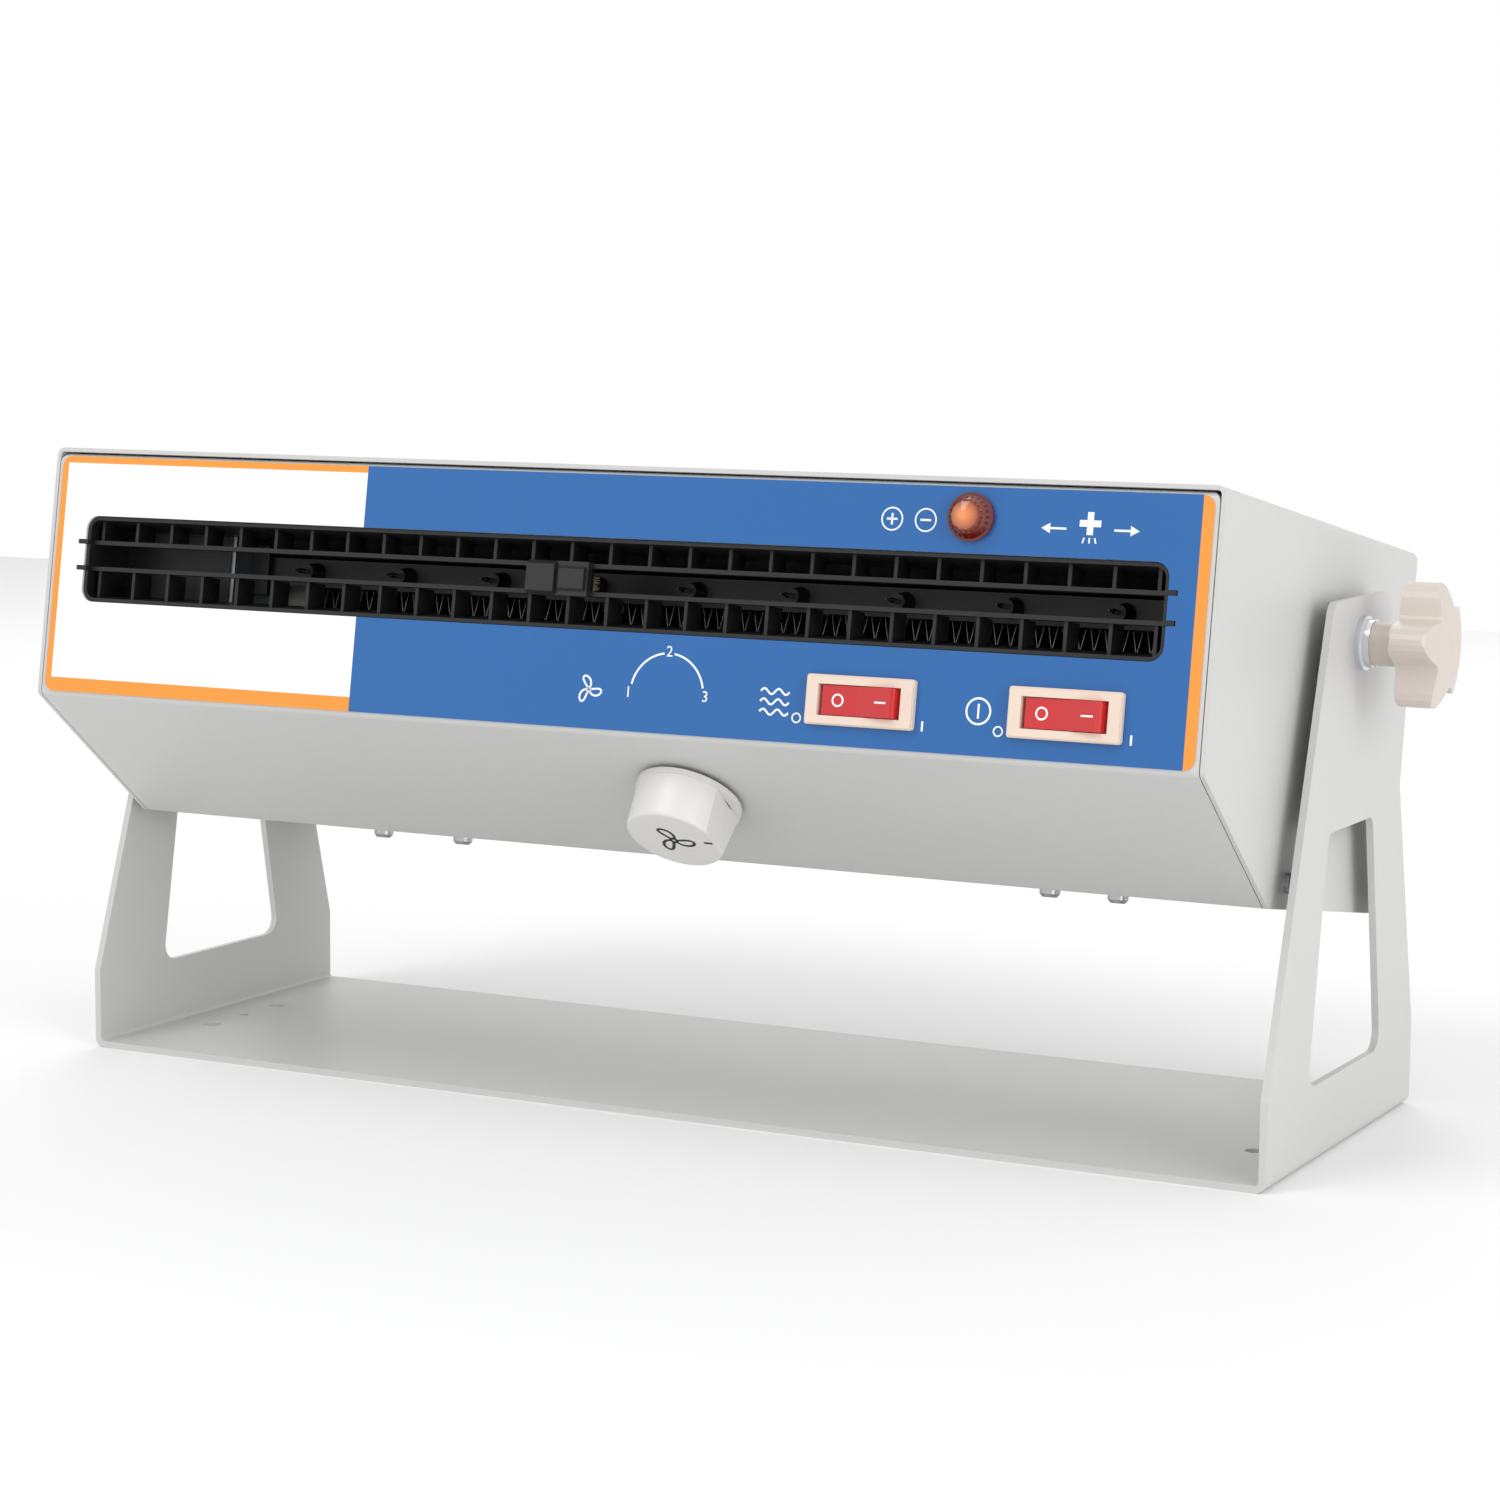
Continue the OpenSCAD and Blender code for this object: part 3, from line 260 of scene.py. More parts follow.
def makeStreakGroup():  # fine lines along one axis, for drawn, turned and brushed metal
    group, into, out = newGroup("metalStreaks", [
        ("Color", "NodeSocketColor", (0.6, 0.6, 0.6, 1)),
        ("Stretch", "NodeSocketVector", (1.0, 1.0, 1.0)),
        ("Spread", "NodeSocketFloat", 0.15),
        ("Roughness", "NodeSocketFloat", 0.3)],
        [("Color", "NodeSocketColor"), ("Roughness", "NodeSocketFloat"), ("Normal", "NodeSocketVector")])
    links = group.links
    place = addNode(group, "ShaderNodeTexCoord").outputs["Object"]
    stretch = addNode(group, "ShaderNodeVectorMath", operation="MULTIPLY")
    links.new(place, stretch.inputs[0])
    links.new(into.outputs["Stretch"], stretch.inputs[1])
    lines = noiseNode(group, stretch.outputs[0], streakLook["lineScale"], 6.0)
    cloud = noiseNode(group, place, streakLook["cloudScale"])
    both = mathNode(group, "SUBTRACT", mathNode(group, "ADD", lines, cloud), 1.0)
    offset = mathNode(group, "MULTIPLY", both, into.outputs["Spread"])
    level = mathNode(group, "ADD", offset, 1.0)
    links.new(scaledColour(group, into.outputs["Color"], level), out.inputs["Color"])
    links.new(mathNode(group, "ADD", into.outputs["Roughness"], offset, True), out.inputs["Roughness"])
    bump = addNode(group, "ShaderNodeBump")
    bump.inputs["Distance"].default_value = streakLook["depth"]
    bump.inputs["Strength"].default_value = streakLook["strength"]
    links.new(lines, bump.inputs["Height"])
    links.new(bump.outputs[0], out.inputs["Normal"])
    return group


surfaceGroup = makeSurfaceGroup()
streakGroup = makeStreakGroup()


def linear(red, green, blue):  # from display values of 0 to 255
    def channel(value):
        value /= 255
        return value / 12.92 if value <= 0.04045 else ((value + 0.055) / 1.055) ** 2.4
    return (channel(red), channel(green), channel(blue), 1.0)


def startMaterial(name, **sockets):
    material = bpy.data.materials.new(name)
    material.use_nodes = True
    shader = material.node_tree.nodes["Principled BSDF"]
    for key, value in sockets.items():
        shader.inputs[key].default_value = value
    return material, material.node_tree, shader


def placeGroup(tree, group, shader, **values):
    node = addNode(tree, "ShaderNodeGroup", node_tree=group)
    for key, value in values.items():
        feed(tree, node.inputs[key.replace("_", " ")], value)
    for socket, target in (("Color", "Base Color"), ("Roughness", "Roughness"), ("Normal", "Normal")):
        tree.links.new(node.outputs[socket], shader.inputs[target])


def moulded(name, colour, roughness, bump=0.05, grain=900.0, drift=0.05, spread=0.1, **sockets):
    material, tree, shader = startMaterial(name, **sockets)
    placeGroup(tree, surfaceGroup, shader, Color=colour, Drift=drift, Grain_Scale=grain, Roughness=roughness,
               Roughness_Spread=spread, Bump=bump)
    return material


def metal(name, colour, roughness, stretch=(1, 1, 1), spread=0.12):
    material, tree, shader = startMaterial(name, Metallic=1.0)
    placeGroup(tree, streakGroup, shader, Color=colour, Stretch=stretch, Spread=spread, Roughness=roughness)
    return material


# The printed front film: a white field with an orange border at the left, blue, and an orange strip at the right

film = {
    "blue": linear(24, 101, 170), "blueDeep": linear(14, 88, 156), "white": linear(246, 246, 246),
    "orange": linear(238, 150, 50), "cloudScale": 6.0, "whiteEdge": -71.5, "leftOrange": -175.2,
    "rightOrange": 174.4, "topOrange": 4.4, "bottomOrange": 67.0}


def makeFilmMaterial():
    material, tree, shader = startMaterial("printedFilm", **{"Coat Weight": 0.25, "Coat Roughness": 0.18})
    place = addNode(tree, "ShaderNodeTexCoord").outputs["Object"]
    shift = addNode(tree, "ShaderNodeVectorMath", operation="SUBTRACT")
    shift.inputs[1].default_value = frontTop
    tree.links.new(place, shift.inputs[0])
    turn = addNode(tree, "ShaderNodeMapping")
    turn.inputs["Rotation"].default_value = (tiltAngle, 0, 0)
    tree.links.new(shift.outputs[0], turn.inputs["Vector"])
    parts = addNode(tree, "ShaderNodeSeparateXYZ")
    tree.links.new(turn.outputs[0], parts.inputs[0])
    across, up = parts.outputs["X"], parts.outputs["Z"]
    inWhite = mathNode(tree, "LESS_THAN", across, film["whiteEdge"] * mm)
    border = mathNode(tree, "LESS_THAN", across, film["leftOrange"] * mm)
    for test, edge in (("GREATER_THAN", film["topOrange"]), ("LESS_THAN", film["bottomOrange"])):
        border = mathNode(tree, "MAXIMUM", border, mathNode(tree, test, up, -edge * mm))
    border = mathNode(tree, "MULTIPLY", border, inWhite)
    strip = mathNode(tree, "GREATER_THAN", across, film["rightOrange"] * mm)
    border = mathNode(tree, "MAXIMUM", border, strip)
    cloud = noiseNode(tree, place, film["cloudScale"], 2.0)
    ground = mixColour(tree, inWhite, mixColour(tree, cloud, film["blue"], film["blueDeep"]), film["white"])
    placeGroup(tree, surfaceGroup, shader, Color=mixColour(tree, border, ground, film["orange"]), Drift=0.03,
               Grain_Scale=1600.0, Roughness=0.34, Roughness_Spread=0.08, Bump=0.03)
    return material


# The lamp's lens: dark amber with a glow in the middle, and rings of cut facets

lamp = {
    "place": (112.5, 10.4), "glowOut": 6.2, "glowReach": 6.0, "glowFall": 1.6, "glowStrength": 0.35,
    "amber": linear(100, 18, 2), "core": linear(232, 150, 92), "light": linear(255, 120, 50), "facetHeight": 0.9,
    "facetRadius": 0.62, "rings": ({"radius": 5.1, "count": 22, "out": 1.9}, {"radius": 3.9, "count": 16, "out": 3.6})}


def makeLensMaterial():
    material, tree, shader = startMaterial("amberLens", **{
        "Coat Weight": 0.6, "Coat Roughness": 0.06, "Emission Strength": lamp["glowStrength"]})
    place = addNode(tree, "ShaderNodeTexCoord").outputs["Object"]
    away = addNode(tree, "ShaderNodeVectorMath", operation="DISTANCE")
    away.inputs[1].default_value = frontPlace(*lamp["place"], out=lamp["glowOut"] * mm).to_translation()
    tree.links.new(place, away.inputs[0])
    far = mathNode(tree, "DIVIDE", away.outputs["Value"], lamp["glowReach"] * mm)
    near = mathNode(tree, "POWER", mathNode(tree, "SUBTRACT", 1.0, far, True), lamp["glowFall"])
    placeGroup(tree, surfaceGroup, shader, Color=mixColour(tree, near, lamp["amber"], lamp["core"]), Drift=0.3,
               Grain_Scale=700.0, Roughness=0.14, Roughness_Spread=0.1, Bump=0.05)
    tree.links.new(mixColour(tree, near, (0, 0, 0, 1), lamp["light"]), shader.inputs["Emission Color"])
    return material


# The other finishes, and the solid pieces that have them

materials = {
    "paint": moulded("powderCoat", linear(200, 200, 199), 0.42, bump=0.16, grain=700.0, spread=0.14),
    "ivory": moulded("ivoryMoulding", linear(205, 195, 186), 0.36, grain=1200.0, drift=0.07),
    "knobGrey": moulded("knobMoulding", linear(218, 217, 213), 0.34, grain=1300.0, drift=0.06),
    "cream": moulded("bezelMoulding", linear(229, 210, 194), 0.3, bump=0.04, grain=1500.0),
    "black": moulded("grilleMoulding", linear(20, 20, 22), 0.42, bump=0.1, drift=0.25),
    "thumb": moulded("thumbMoulding", linear(30, 30, 32), 0.34, bump=0.1, grain=1100.0, drift=0.2),
    "rubber": moulded("spacerRubber", linear(28, 28, 28), 0.7, bump=0.2, grain=600.0, drift=0.2),
    "foam": moulded("filterFoam", linear(38, 38, 40), 0.9, bump=0.9, grain=420.0, drift=0.6),
    "wheel": moulded("bladeMoulding", linear(30, 30, 34), 0.5, bump=0.06, grain=800.0, drift=0.2),
    "white": moulded("whiteMoulding", linear(230, 230, 226), 0.45),
    "board": moulded("circuitLaminate", linear(22, 92, 52), 0.4, bump=0.08, grain=700.0, drift=0.25),
    # The faint red emission on the rockers is a painted glow that lifts their brightness; it is not light the switches
    # give off.
    "red": moulded("rockerMoulding", linear(190, 24, 30), 0.16, bump=0.02, grain=1400.0, drift=0.12,
                   **{"Coat Weight": 0.5, "Coat Roughness": 0.08, "Emission Color": linear(255, 60, 50),
                      "Emission Strength": 0.05}),
    "ink": moulded("whiteInk", linear(238, 242, 246), 0.4, bump=0.03, grain=2000.0, drift=0.03),
    "blackInk": moulded("blackInk", linear(24, 24, 26), 0.4, bump=0.03, grain=2000.0, drift=0.1),
    "bristle": moulded("bristles", linear(196, 178, 138), 0.6, bump=0.1, grain=2500.0, drift=0.3),
    "zinc": metal("zincPlate", linear(196, 198, 202), 0.28, spread=0.16),
    "chrome": metal("polishedWasher", linear(222, 224, 228), 0.12, stretch=(1, 6, 6), spread=0.08),
    "steel": metal("turnedSteel", linear(176, 178, 182), 0.26, stretch=(8, 1, 1)),
    "sheet": metal("galvanisedSheet", linear(168, 172, 176), 0.4, stretch=(1, 4, 1), spread=0.2),
    "aluminium": metal("millAluminium", linear(200, 202, 204), 0.34, stretch=(1, 6, 1)),
    "brass": metal("plainBrass", linear(206, 176, 98), 0.3),
    "film": makeFilmMaterial(),
    "lens": makeLensMaterial(),
}

nodeFinish = {
    "paint": ["stand_bracket", "chassis", "cover"],
    "film": ["front_label"],
    "rubber": ["left_spacer", "right_spacer", "bearing_bush"],
    "zinc": ["left_pivot_nut", "right_pivot_nut", "cover_screws", "tray_screws", "motor_screws", "speed_nut",
             "inlet_screws"],
    "chrome": ["left_clamp_washers", "right_clamp_washers"],
    "steel": ["left_clamp_stud", "right_clamp_stud", "emitter_needles", "fan_shaft", "motor_body", "speed_spindle"],
    "ivory": ["left_clamp_knob", "right_clamp_knob"],
    "black": ["outlet_grille", "emitter_bar", "emitter_brackets", "duct_blank", "speed_switch", "power_inlet",
              "lamp_body", "high_voltage_module", "board_parts"],
    "thumb": ["cleaner_slider"],
    "bristle": ["cleaner_brush"],
    "white": ["heater_frames", "lamp_nut"],
    "sheet": ["fan_scroll", "fan_tongue", "left_end_plate", "right_end_plate", "motor_cap", "filter_clips"],
    "wheel": ["fan_wheel"],
    "brass": ["bearing_sleeve", "switch_terminals", "inlet_pins"],
    "aluminium": ["heater_core", "heater_fins"],
    "foam": ["intake_filter"],
    "knobGrey": ["speed_knob"],
    "cream": ["warm_switch", "power_switch"],
    "red": ["warm_rocker", "power_rocker"],
    "lens": ["lamp_lens"],
    "board": ["control_board"],
}


def dressNodes():
    bare = set(nodes)
    for finish, names in nodeFinish.items():
        for name in names:
            mesh = nodes[name].data
            mesh.materials.clear()
            mesh.materials.append(materials[finish])
            bare.discard(name)
    print("stage: solid pieces dressed, left bare:", sorted(bare))


dressNodes()

# Printed marks are thin layers of ink, drawn flat in mm and then put in place.

ink = {"thickness": 0.05, "sink": 0.02, "line": 0.55, "thinLine": 0.42}
fanShape = {"petals": (90, 210, 330), "steps": 12, "hub": 0.15, "root": 0.16, "spread": 70, "swirl": 24,
            "fullness": 0.8}


def arcPoints(radius, start, end, steps, centre=(0, 0)):
    turns = [math.radians(start + (end - start) * step / steps) for step in range(steps + 1)]
    return [(centre[0] + radius * math.cos(turn), centre[1] + radius * math.sin(turn)) for turn in turns]


def addPrism(mesh, corners):  # a flat polygon made into a thin closed layer
    area = sum(a[0] * b[1] - b[0] * a[1] for a, b in zip(corners, corners[1:] + corners[:1]))
    if area < 0:
        corners = corners[::-1]
    low = [mesh.verts.new((x * mm, y * mm, -ink["sink"] * mm)) for x, y in corners]
    high = [mesh.verts.new((x * mm, y * mm, ink["thickness"] * mm)) for x, y in corners]
    mesh.faces.new(high)
    mesh.faces.new(low[::-1])
    for index in range(len(corners)):
        following = (index + 1) % len(corners)
        mesh.faces.new((low[index], low[following], high[following], high[index]))


def addStroke(mesh, points, width, closed=False):
    count = len(points)
    low, high = [], []
    for index, point in enumerate(points):
        before = points[index - 1] if closed or index > 0 else point
        after = points[(index + 1) % count] if closed or index < count - 1 else point
        along = Vector((after[0] - before[0], after[1] - before[1])).normalized()
        across = Vector((-along.y, along.x)) * width / 2
        for layer, height in ((low, -ink["sink"]), (high, ink["thickness"])):
            layer.append([mesh.verts.new(((point[0] + side * across.x) * mm, (point[1] + side * across.y) * mm,
                                          height * mm)) for side in (1, -1)])
    for a in range(count if closed else count - 1):
        b = (a + 1) % count
        mesh.faces.new((high[a][0], high[a][1], high[b][1], high[b][0]))
        mesh.faces.new((low[b][0], low[b][1], low[a][1], low[a][0]))
        mesh.faces.new((low[a][1], low[b][1], high[b][1], high[a][1]))
        mesh.faces.new((high[a][0], high[b][0], low[b][0], low[a][0]))
    if not closed:
        mesh.faces.new((low[0][0], low[0][1], high[0][1], high[0][0]))
        mesh.faces.new((high[-1][0], high[-1][1], low[-1][1], low[-1][0]))


def addRing(mesh, radius, width, count=24, centre=(0, 0)):
    addStroke(mesh, arcPoints(radius, 0, 360 - 360 / count, count - 1, centre), width, closed=True)


def addNumeral(mesh, text, x, y, height):
    curve = bpy.data.curves.new("numeral", "FONT")
    curve.body = text
    curve.size = height * mm * 1.38  # the font's em for a digit of this height
    curve.align_x = "CENTER"
    curve.align_y = "CENTER"
    curve.extrude = ink["thickness"] * mm / 2
    curve.resolution_u = 3
    holder = addObject("numeral", curve)
    bpy.context.view_layer.update()
    data = bpy.data.meshes.new_from_object(holder)
    data.transform(Matrix.Translation((x * mm, y * mm, ink["thickness"] * mm / 2)))
    mesh.from_mesh(data)
    bpy.data.objects.remove(holder)
    bpy.data.meshes.remove(data)


def addFanSymbol(mesh, size, width):  # three bent petals round a hub
    steps = fanShape["steps"]
    for turn in fanShape["petals"]:
        petal = []
        for step in range(steps + 1):
            swell = math.sin(math.pi * step / steps) ** fanShape["fullness"]
            reach = size * (fanShape["root"] + (1 - fanShape["root"]) * swell)
            angle = math.radians(turn + fanShape["spread"] * (step / steps - 0.5) + fanShape["swirl"] * swell)
            petal.append((reach * math.cos(angle), reach * math.sin(angle)))
        addStroke(mesh, petal, width, closed=True)
    addRing(mesh, size * fanShape["hub"], width)


def finishMark(name, mesh, place, material, body):
    data = bpy.data.meshes.new(name)
    bmesh.ops.transform(mesh, matrix=place, verts=mesh.verts)
    bmesh.ops.recalc_face_normals(mesh, faces=mesh.faces)
    mesh.to_mesh(data)
    mesh.free()
    data.materials.append(material)
    piece = addObject(name, data)
    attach(piece, body)


def filmMark(name, at, draw, *values):
    mesh = bmesh.new()
    draw(mesh, *values)
    finishMark(name, mesh, frontPlace(*at), materials["ink"], "housing")


# Marks on the film, each at its place right of the middle and below the top of the face

dial = {
    "at": (28.3, 60.6), "radius": 11.0, "arcs": ((168, 98), (82, 12)), "arcSteps": 14, "numeralHeight": 3.0,
    "numerals": (("1", 180, 0.6), ("2", 90, 0.4), ("3", 0, 0.6))}
fanSign = {"at": (4.6, 60.5), "size": 3.9}
heatSign = {"at": (60.5, 60.6), "width": 8.4, "levels": (2.7, 0, -2.7), "swing": 0.75, "waves": 2, "steps": 20}
powerSign = {"at": (118.5, 59.6), "radius": 3.3, "bar": 1.9}
chargeSigns = {"plusAt": (90.1, 11.5), "minusAt": (99.6, 11.5), "radius": 2.9, "bar": 1.5}
pointSign = {"at": (144.9, 10.8), "arm": 0.85, "reach": 2.9, "hairs": (-1.4, 0, 1.4), "hairTop": -3.6,
             "hairEnd": -5.0, "splay": 1.3}
arrowSigns = {"leftAt": (135.1, 12.3), "rightAt": (154.8, 12.3), "half": 3.4, "neck": 1.0, "headHalf": 1.3}
switchSigns = {"drop": 64.4, "warm": (67.2, 103.2), "power": (124.3, 160.3), "ring": 1.2, "bar": 1.3}


def drawDial(mesh):
    for start, end in dial["arcs"]:
        addStroke(mesh, arcPoints(dial["radius"], start, end, dial["arcSteps"]), ink["line"])
    for text, turn, push in dial["numerals"]:
        reach, angle = dial["radius"] + push, math.radians(turn)
        addNumeral(mesh, text, reach * math.cos(angle), reach * math.sin(angle), dial["numeralHeight"])


def drawHeat(mesh):  # three level waves, one over the other
    width, steps = heatSign["width"], heatSign["steps"]
    for level in heatSign["levels"]:
        wave = [(width * step / steps - width / 2,
                 level + heatSign["swing"] * math.sin(step / steps * heatSign["waves"] * 2 * math.pi))
                for step in range(steps + 1)]
        addStroke(mesh, wave, ink["line"])


def drawPower(mesh):
    addRing(mesh, powerSign["radius"], ink["line"], 36)
    addStroke(mesh, [(0, -powerSign["bar"]), (0, powerSign["bar"])], ink["line"])


def drawCharge(mesh, plus):
    bar = chargeSigns["bar"]
    addRing(mesh, chargeSigns["radius"], ink["thinLine"], 30)
    addStroke(mesh, [(-bar, 0), (bar, 0)], ink["line"])
    if plus:
        addStroke(mesh, [(0, -bar), (0, bar)], ink["line"])


def drawPoint(mesh):  # a point over the brush that cleans it
    arm, reach = pointSign["arm"], pointSign["reach"]
    addPrism(mesh, [(-arm, reach), (-arm, arm), (-reach, arm), (-reach, -arm), (-arm, -arm), (-arm, -reach),
                    (arm, -reach), (arm, -arm), (reach, -arm), (reach, arm), (arm, arm), (arm, reach)])
    for x in pointSign["hairs"]:
        addStroke(mesh, [(x, pointSign["hairTop"]), (x * pointSign["splay"], pointSign["hairEnd"])], ink["thinLine"])


def drawArrow(mesh, direction):
    half, neck, headHalf = arrowSigns["half"] * direction, arrowSigns["neck"] * direction, arrowSigns["headHalf"]
    addStroke(mesh, [(-half, 0), (neck, 0)], ink["line"])
    addPrism(mesh, [(neck, headHalf), (neck, -headHalf), (half, 0)])


def drawBar(mesh):
    addStroke(mesh, [(0, -switchSigns["bar"]), (0, switchSigns["bar"])], ink["line"])


def makeFilmMarks():
    filmMark("dialMark", dial["at"], drawDial)
    filmMark("fanMark", fanSign["at"], addFanSymbol, fanSign["size"], ink["line"])
    filmMark("heatMark", heatSign["at"], drawHeat)
    filmMark("powerMark", powerSign["at"], drawPower)
    filmMark("plusMark", chargeSigns["plusAt"], drawCharge, True)
    filmMark("minusMark", chargeSigns["minusAt"], drawCharge, False)
    filmMark("pointMark", pointSign["at"], drawPoint)
    filmMark("leftArrowMark", arrowSigns["leftAt"], drawArrow, -1)
    filmMark("rightArrowMark", arrowSigns["rightAt"], drawArrow, 1)
    for switch in ("warm", "power"):
        offX, onX = switchSigns[switch]
        filmMark(switch + "OffMark", (offX, switchSigns["drop"]), addRing, switchSigns["ring"], ink["thinLine"])
        filmMark(switch + "OnMark", (onX, switchSigns["drop"]), drawBar)
    print("stage: film marks printed")


makeFilmMarks()

# Marks on the rockers

rockerMarks = {"warm": (85.6, 59.2), "power": (142.6, 59.2), "offX": -6.2, "onX": 6.8, "ring": 1.5, "barHalf": 1.8,
               "line": 0.5, "castFrom": 30}


def settleOn(mesh, place, nodeName):  # drops a flat drawing onto the outer face of a solid piece
    world = nodes[nodeName].matrix_world
    surface = BVHTree.FromObject(nodes[nodeName], bpy.context.evaluated_depsgraph_get())
    inwards = world.inverted().to_3x3() @ faceIn
    for vertex in mesh.verts:
        height = vertex.co.z
        start = place @ Vector((vertex.co.x, vertex.co.y, rockerMarks["castFrom"] * mm))
        hit = surface.ray_cast(world.inverted() @ start, inwards)[0]
        vertex.co = world @ hit - faceIn * height


def makeRockerMarks():
    for switch in ("warm", "power"):
        mesh = bmesh.new()
        addRing(mesh, rockerMarks["ring"], rockerMarks["line"], centre=(rockerMarks["offX"], 0))
        bar = [(rockerMarks["onX"] + side * rockerMarks["barHalf"], 0) for side in (-1, 1)]
        addStroke(mesh, bar, rockerMarks["line"])
        settleOn(mesh, frontPlace(*rockerMarks[switch]), switch + "_rocker")
        finishMark(switch + "RockerMark", mesh, Matrix(), materials["ink"], switch + "_switch_rocker")
    print("stage: rocker marks printed")


makeRockerMarks()

# The speed knob's symbol and tick, and a thin plate that closes the thin spot of the wall behind its flat

knob = {"height": 15.2, "symbol": 6.0, "line": 0.9, "tickFrom": 9.2, "tickTo": 11.7, "flatAt": 12.24, "flatDepth": 0.24,
        "flatHalf": 3.2, "flatLow": 2.9, "flatHigh": 8.7}


def makeKnobPieces():
    turn = joints["speed_turn"]
    foot, axis = Vector(turn["pos_m"]), Vector(turn["axis"])
    mesh = bmesh.new()
    addFanSymbol(mesh, knob["symbol"], knob["line"])
    addStroke(mesh, [(knob["tickFrom"], 0), (knob["tickTo"], 0)], knob["line"])
    face = axisPlace(foot + axis.normalized() * knob["height"] * mm, axis)
    finishMark("knobMark", mesh, face, materials["blackInk"], "speed_control")
    print("stage: knob marks printed")
    mesh = bmesh.new()
    bmesh.ops.create_cube(mesh, size=1.0)
    size = Vector((knob["flatDepth"], 2 * knob["flatHalf"], knob["flatHigh"] - knob["flatLow"])) * mm
    middle = Vector((knob["flatAt"] - knob["flatDepth"] / 2, 0, (knob["flatLow"] + knob["flatHigh"]) / 2)) * mm
    bmesh.ops.scale(mesh, vec=size, verts=mesh.verts)
    bmesh.ops.translate(mesh, vec=middle, verts=mesh.verts)
    finishMark("knobFlat", mesh, axisPlace(foot, axis), materials["knobGrey"], "speed_control")


makeKnobPieces()

# What repeats is grown by Geometry Nodes.


def newGrowthTree(name, inputs):
    tree = bpy.data.node_groups.new(name, "GeometryNodeTree")
    for label, kind in [("Geometry", "Geometry")] + inputs + [("Material", "Material")]:
        tree.interface.new_socket(name=label, in_out="INPUT", socket_type="NodeSocket" + kind)
    tree.interface.new_socket(name="Geometry", in_out="OUTPUT", socket_type="NodeSocketGeometry")
    return tree, tree.nodes.new("NodeGroupInput"), tree.nodes.new("NodeGroupOutput")


def finishGrowthTree(tree, into, out, points, instance, rotation=None):
    onPoints = tree.nodes.new("GeometryNodeInstanceOnPoints")
    realize = tree.nodes.new("GeometryNodeRealizeInstances")
    setMaterial = tree.nodes.new("GeometryNodeSetMaterial")
    tree.links.new(points, onPoints.inputs["Points"])
    tree.links.new(instance, onPoints.inputs["Instance"])
    if rotation:
        tree.links.new(rotation, onPoints.inputs["Rotation"])
    tree.links.new(onPoints.outputs[0], realize.inputs[0])
    tree.links.new(realize.outputs[0], setMaterial.inputs["Geometry"])
    tree.links.new(into.outputs["Material"], setMaterial.inputs["Material"])
    tree.links.new(setMaterial.outputs[0], out.inputs[0])


def socketId(tree, name):
    return next(item.identifier for item in tree.interface.items_tree
                if item.item_type == "SOCKET" and item.in_out == "INPUT" and item.name == name)


def grow(name, tree, values, place, body):
    holder = addObject(name + "Holder", bpy.data.meshes.new(name + "Holder"))
    modifier = holder.modifiers.new("grow", "NODES")
    modifier.node_group = tree
    for label, value in values.items():
        modifier[socketId(tree, label)] = value
    evaluated = holder.evaluated_get(bpy.context.evaluated_depsgraph_get())
    data = bpy.data.meshes.new_from_object(evaluated)
    bpy.data.objects.remove(holder)
    data.transform(place)
    data.name = name
    piece = addObject(name, data)
    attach(piece, body)
    return piece


# Bristles of the point cleaner

brush = {"across": 17, "rows": 10, "radius": 0.16, "taper": 0.6, "sides": 5, "inset": 0.5, "sideGap": 1,
         "fieldHeight": 3.6, "slabHeight": 4.6, "lean": 0.048, "seed": 7}


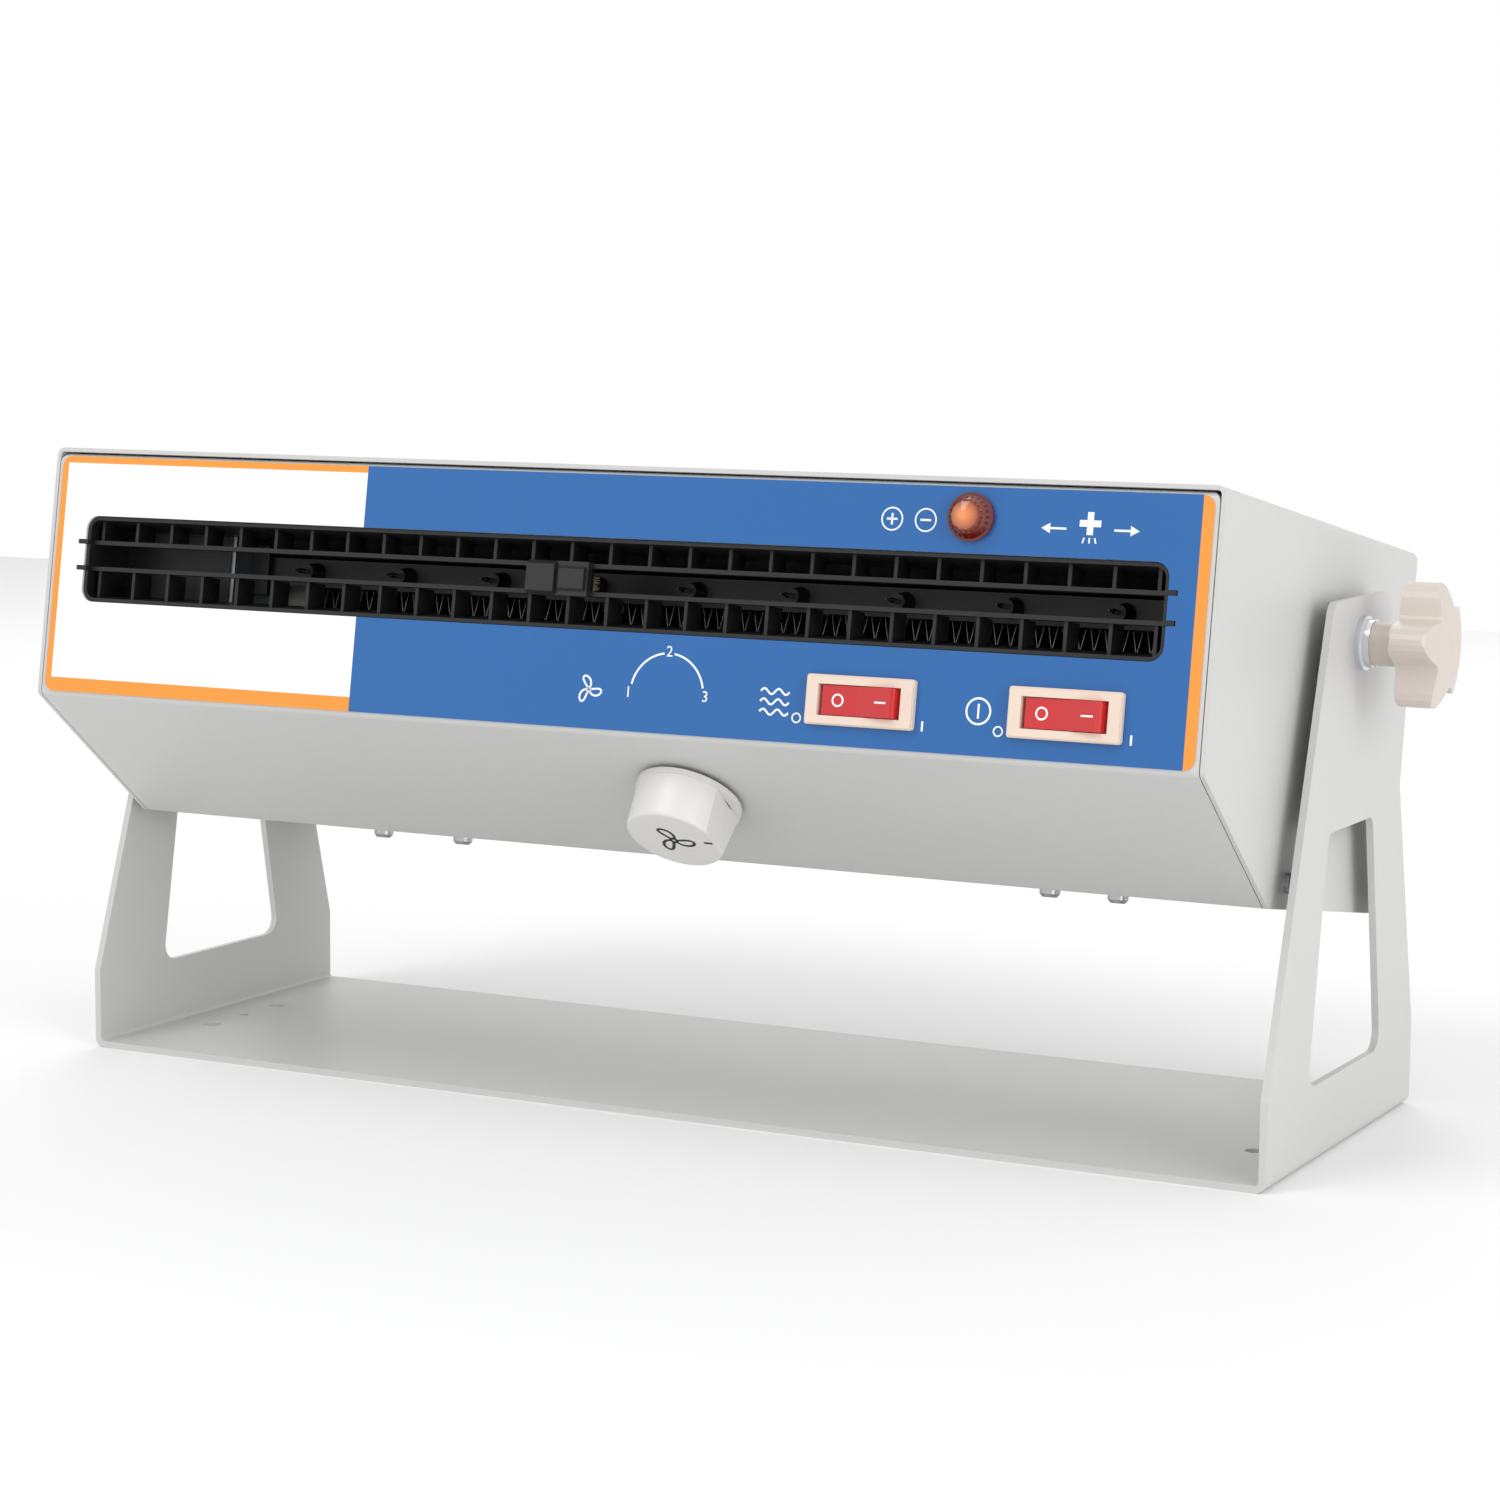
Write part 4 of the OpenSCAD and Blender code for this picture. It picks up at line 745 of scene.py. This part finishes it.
def makeBristleTree():
    tree, into, out = newGrowthTree("bristleField", [
        ("Width", "Float"), ("Height", "Float"), ("Length", "Float"), ("Across", "Int"), ("Rows", "Int"),
        ("Radius", "Float"), ("Spread", "Float"), ("Seed", "Int")])
    grid = tree.nodes.new("GeometryNodeMeshGrid")
    hair = tree.nodes.new("GeometryNodeMeshCone")
    lean = tree.nodes.new("FunctionNodeRandomValue")
    lean.data_type = "FLOAT_VECTOR"
    hair.inputs["Vertices"].default_value = brush["sides"]
    top = mathNode(tree, "MULTIPLY", into.outputs["Radius"], brush["taper"])
    least = mathNode(tree, "MULTIPLY", into.outputs["Spread"], -1.0)
    for source, target in ((least, lean.inputs[0]), (into.outputs["Spread"], lean.inputs[1])):
        combine = tree.nodes.new("ShaderNodeCombineXYZ")
        tree.links.new(source, combine.inputs[0])
        tree.links.new(source, combine.inputs[1])
        tree.links.new(combine.outputs[0], target)
    for source, target in (
            (into.outputs["Width"], grid.inputs["Size X"]), (into.outputs["Height"], grid.inputs["Size Y"]),
            (into.outputs["Across"], grid.inputs["Vertices X"]), (into.outputs["Rows"], grid.inputs["Vertices Y"]),
            (into.outputs["Radius"], hair.inputs["Radius Bottom"]), (top, hair.inputs["Radius Top"]),
            (into.outputs["Length"], hair.inputs["Depth"]), (into.outputs["Seed"], lean.inputs["Seed"])):
        tree.links.new(source, target)
    finishGrowthTree(tree, into, out, grid.outputs["Mesh"], hair.outputs["Mesh"], lean.outputs[0])
    return tree


def makeBristles():
    low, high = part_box("cleaner_brush")
    depth = (high.y - low.y) / math.cos(tiltAngle)
    length = depth - 2 * brush["inset"] * mm - math.sin(tiltAngle) * brush["slabHeight"] * mm
    values = {"Width": high.x - low.x - brush["sideGap"] * mm, "Height": brush["fieldHeight"] * mm, "Length": length,
              "Across": brush["across"], "Rows": brush["rows"], "Radius": brush["radius"] * mm,
              "Spread": brush["lean"], "Seed": brush["seed"], "Material": materials["bristle"]}
    place = axisPlace((low + high) / 2 - faceIn * length / 2, faceIn)
    piece = grow("brushBristles", makeBristleTree(), values, place, "point_cleaner")
    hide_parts("cleaner_brush")
    print("stage: bristles grown,", len(piece.data.polygons), "faces")


makeBristles()

# Facets of the lamp's lens


def makeFacetTree():
    tree, into, out = newGrowthTree("lensFacets", [
        ("Ring Radius", "Float"), ("Count", "Int"), ("Facet Radius", "Float"), ("Facet Height", "Float")])
    ring = tree.nodes.new("GeometryNodeMeshCircle")
    facet = tree.nodes.new("GeometryNodeMeshCone")
    facet.inputs["Vertices"].default_value = 4
    facet.inputs["Radius Top"].default_value = 0.0
    for source, target in (
            (into.outputs["Ring Radius"], ring.inputs["Radius"]), (into.outputs["Count"], ring.inputs["Vertices"]),
            (into.outputs["Facet Radius"], facet.inputs["Radius Bottom"]),
            (into.outputs["Facet Height"], facet.inputs["Depth"])):
        tree.links.new(source, target)
    finishGrowthTree(tree, into, out, ring.outputs[0], facet.outputs["Mesh"])
    return tree


def makeLensFacets():
    tree = makeFacetTree()
    for index, ring in enumerate(lamp["rings"]):
        place = frontPlace(*lamp["place"], out=filmThickness + ring["out"] * mm)
        values = {"Ring Radius": ring["radius"] * mm, "Count": ring["count"], "Facet Radius": lamp["facetRadius"] * mm,
                  "Facet Height": lamp["facetHeight"] * mm, "Material": materials["lens"]}
        grow("lensFacets" + str(index), tree, values, place, "housing")
    print("stage: lens facets cut")


makeLensFacets()
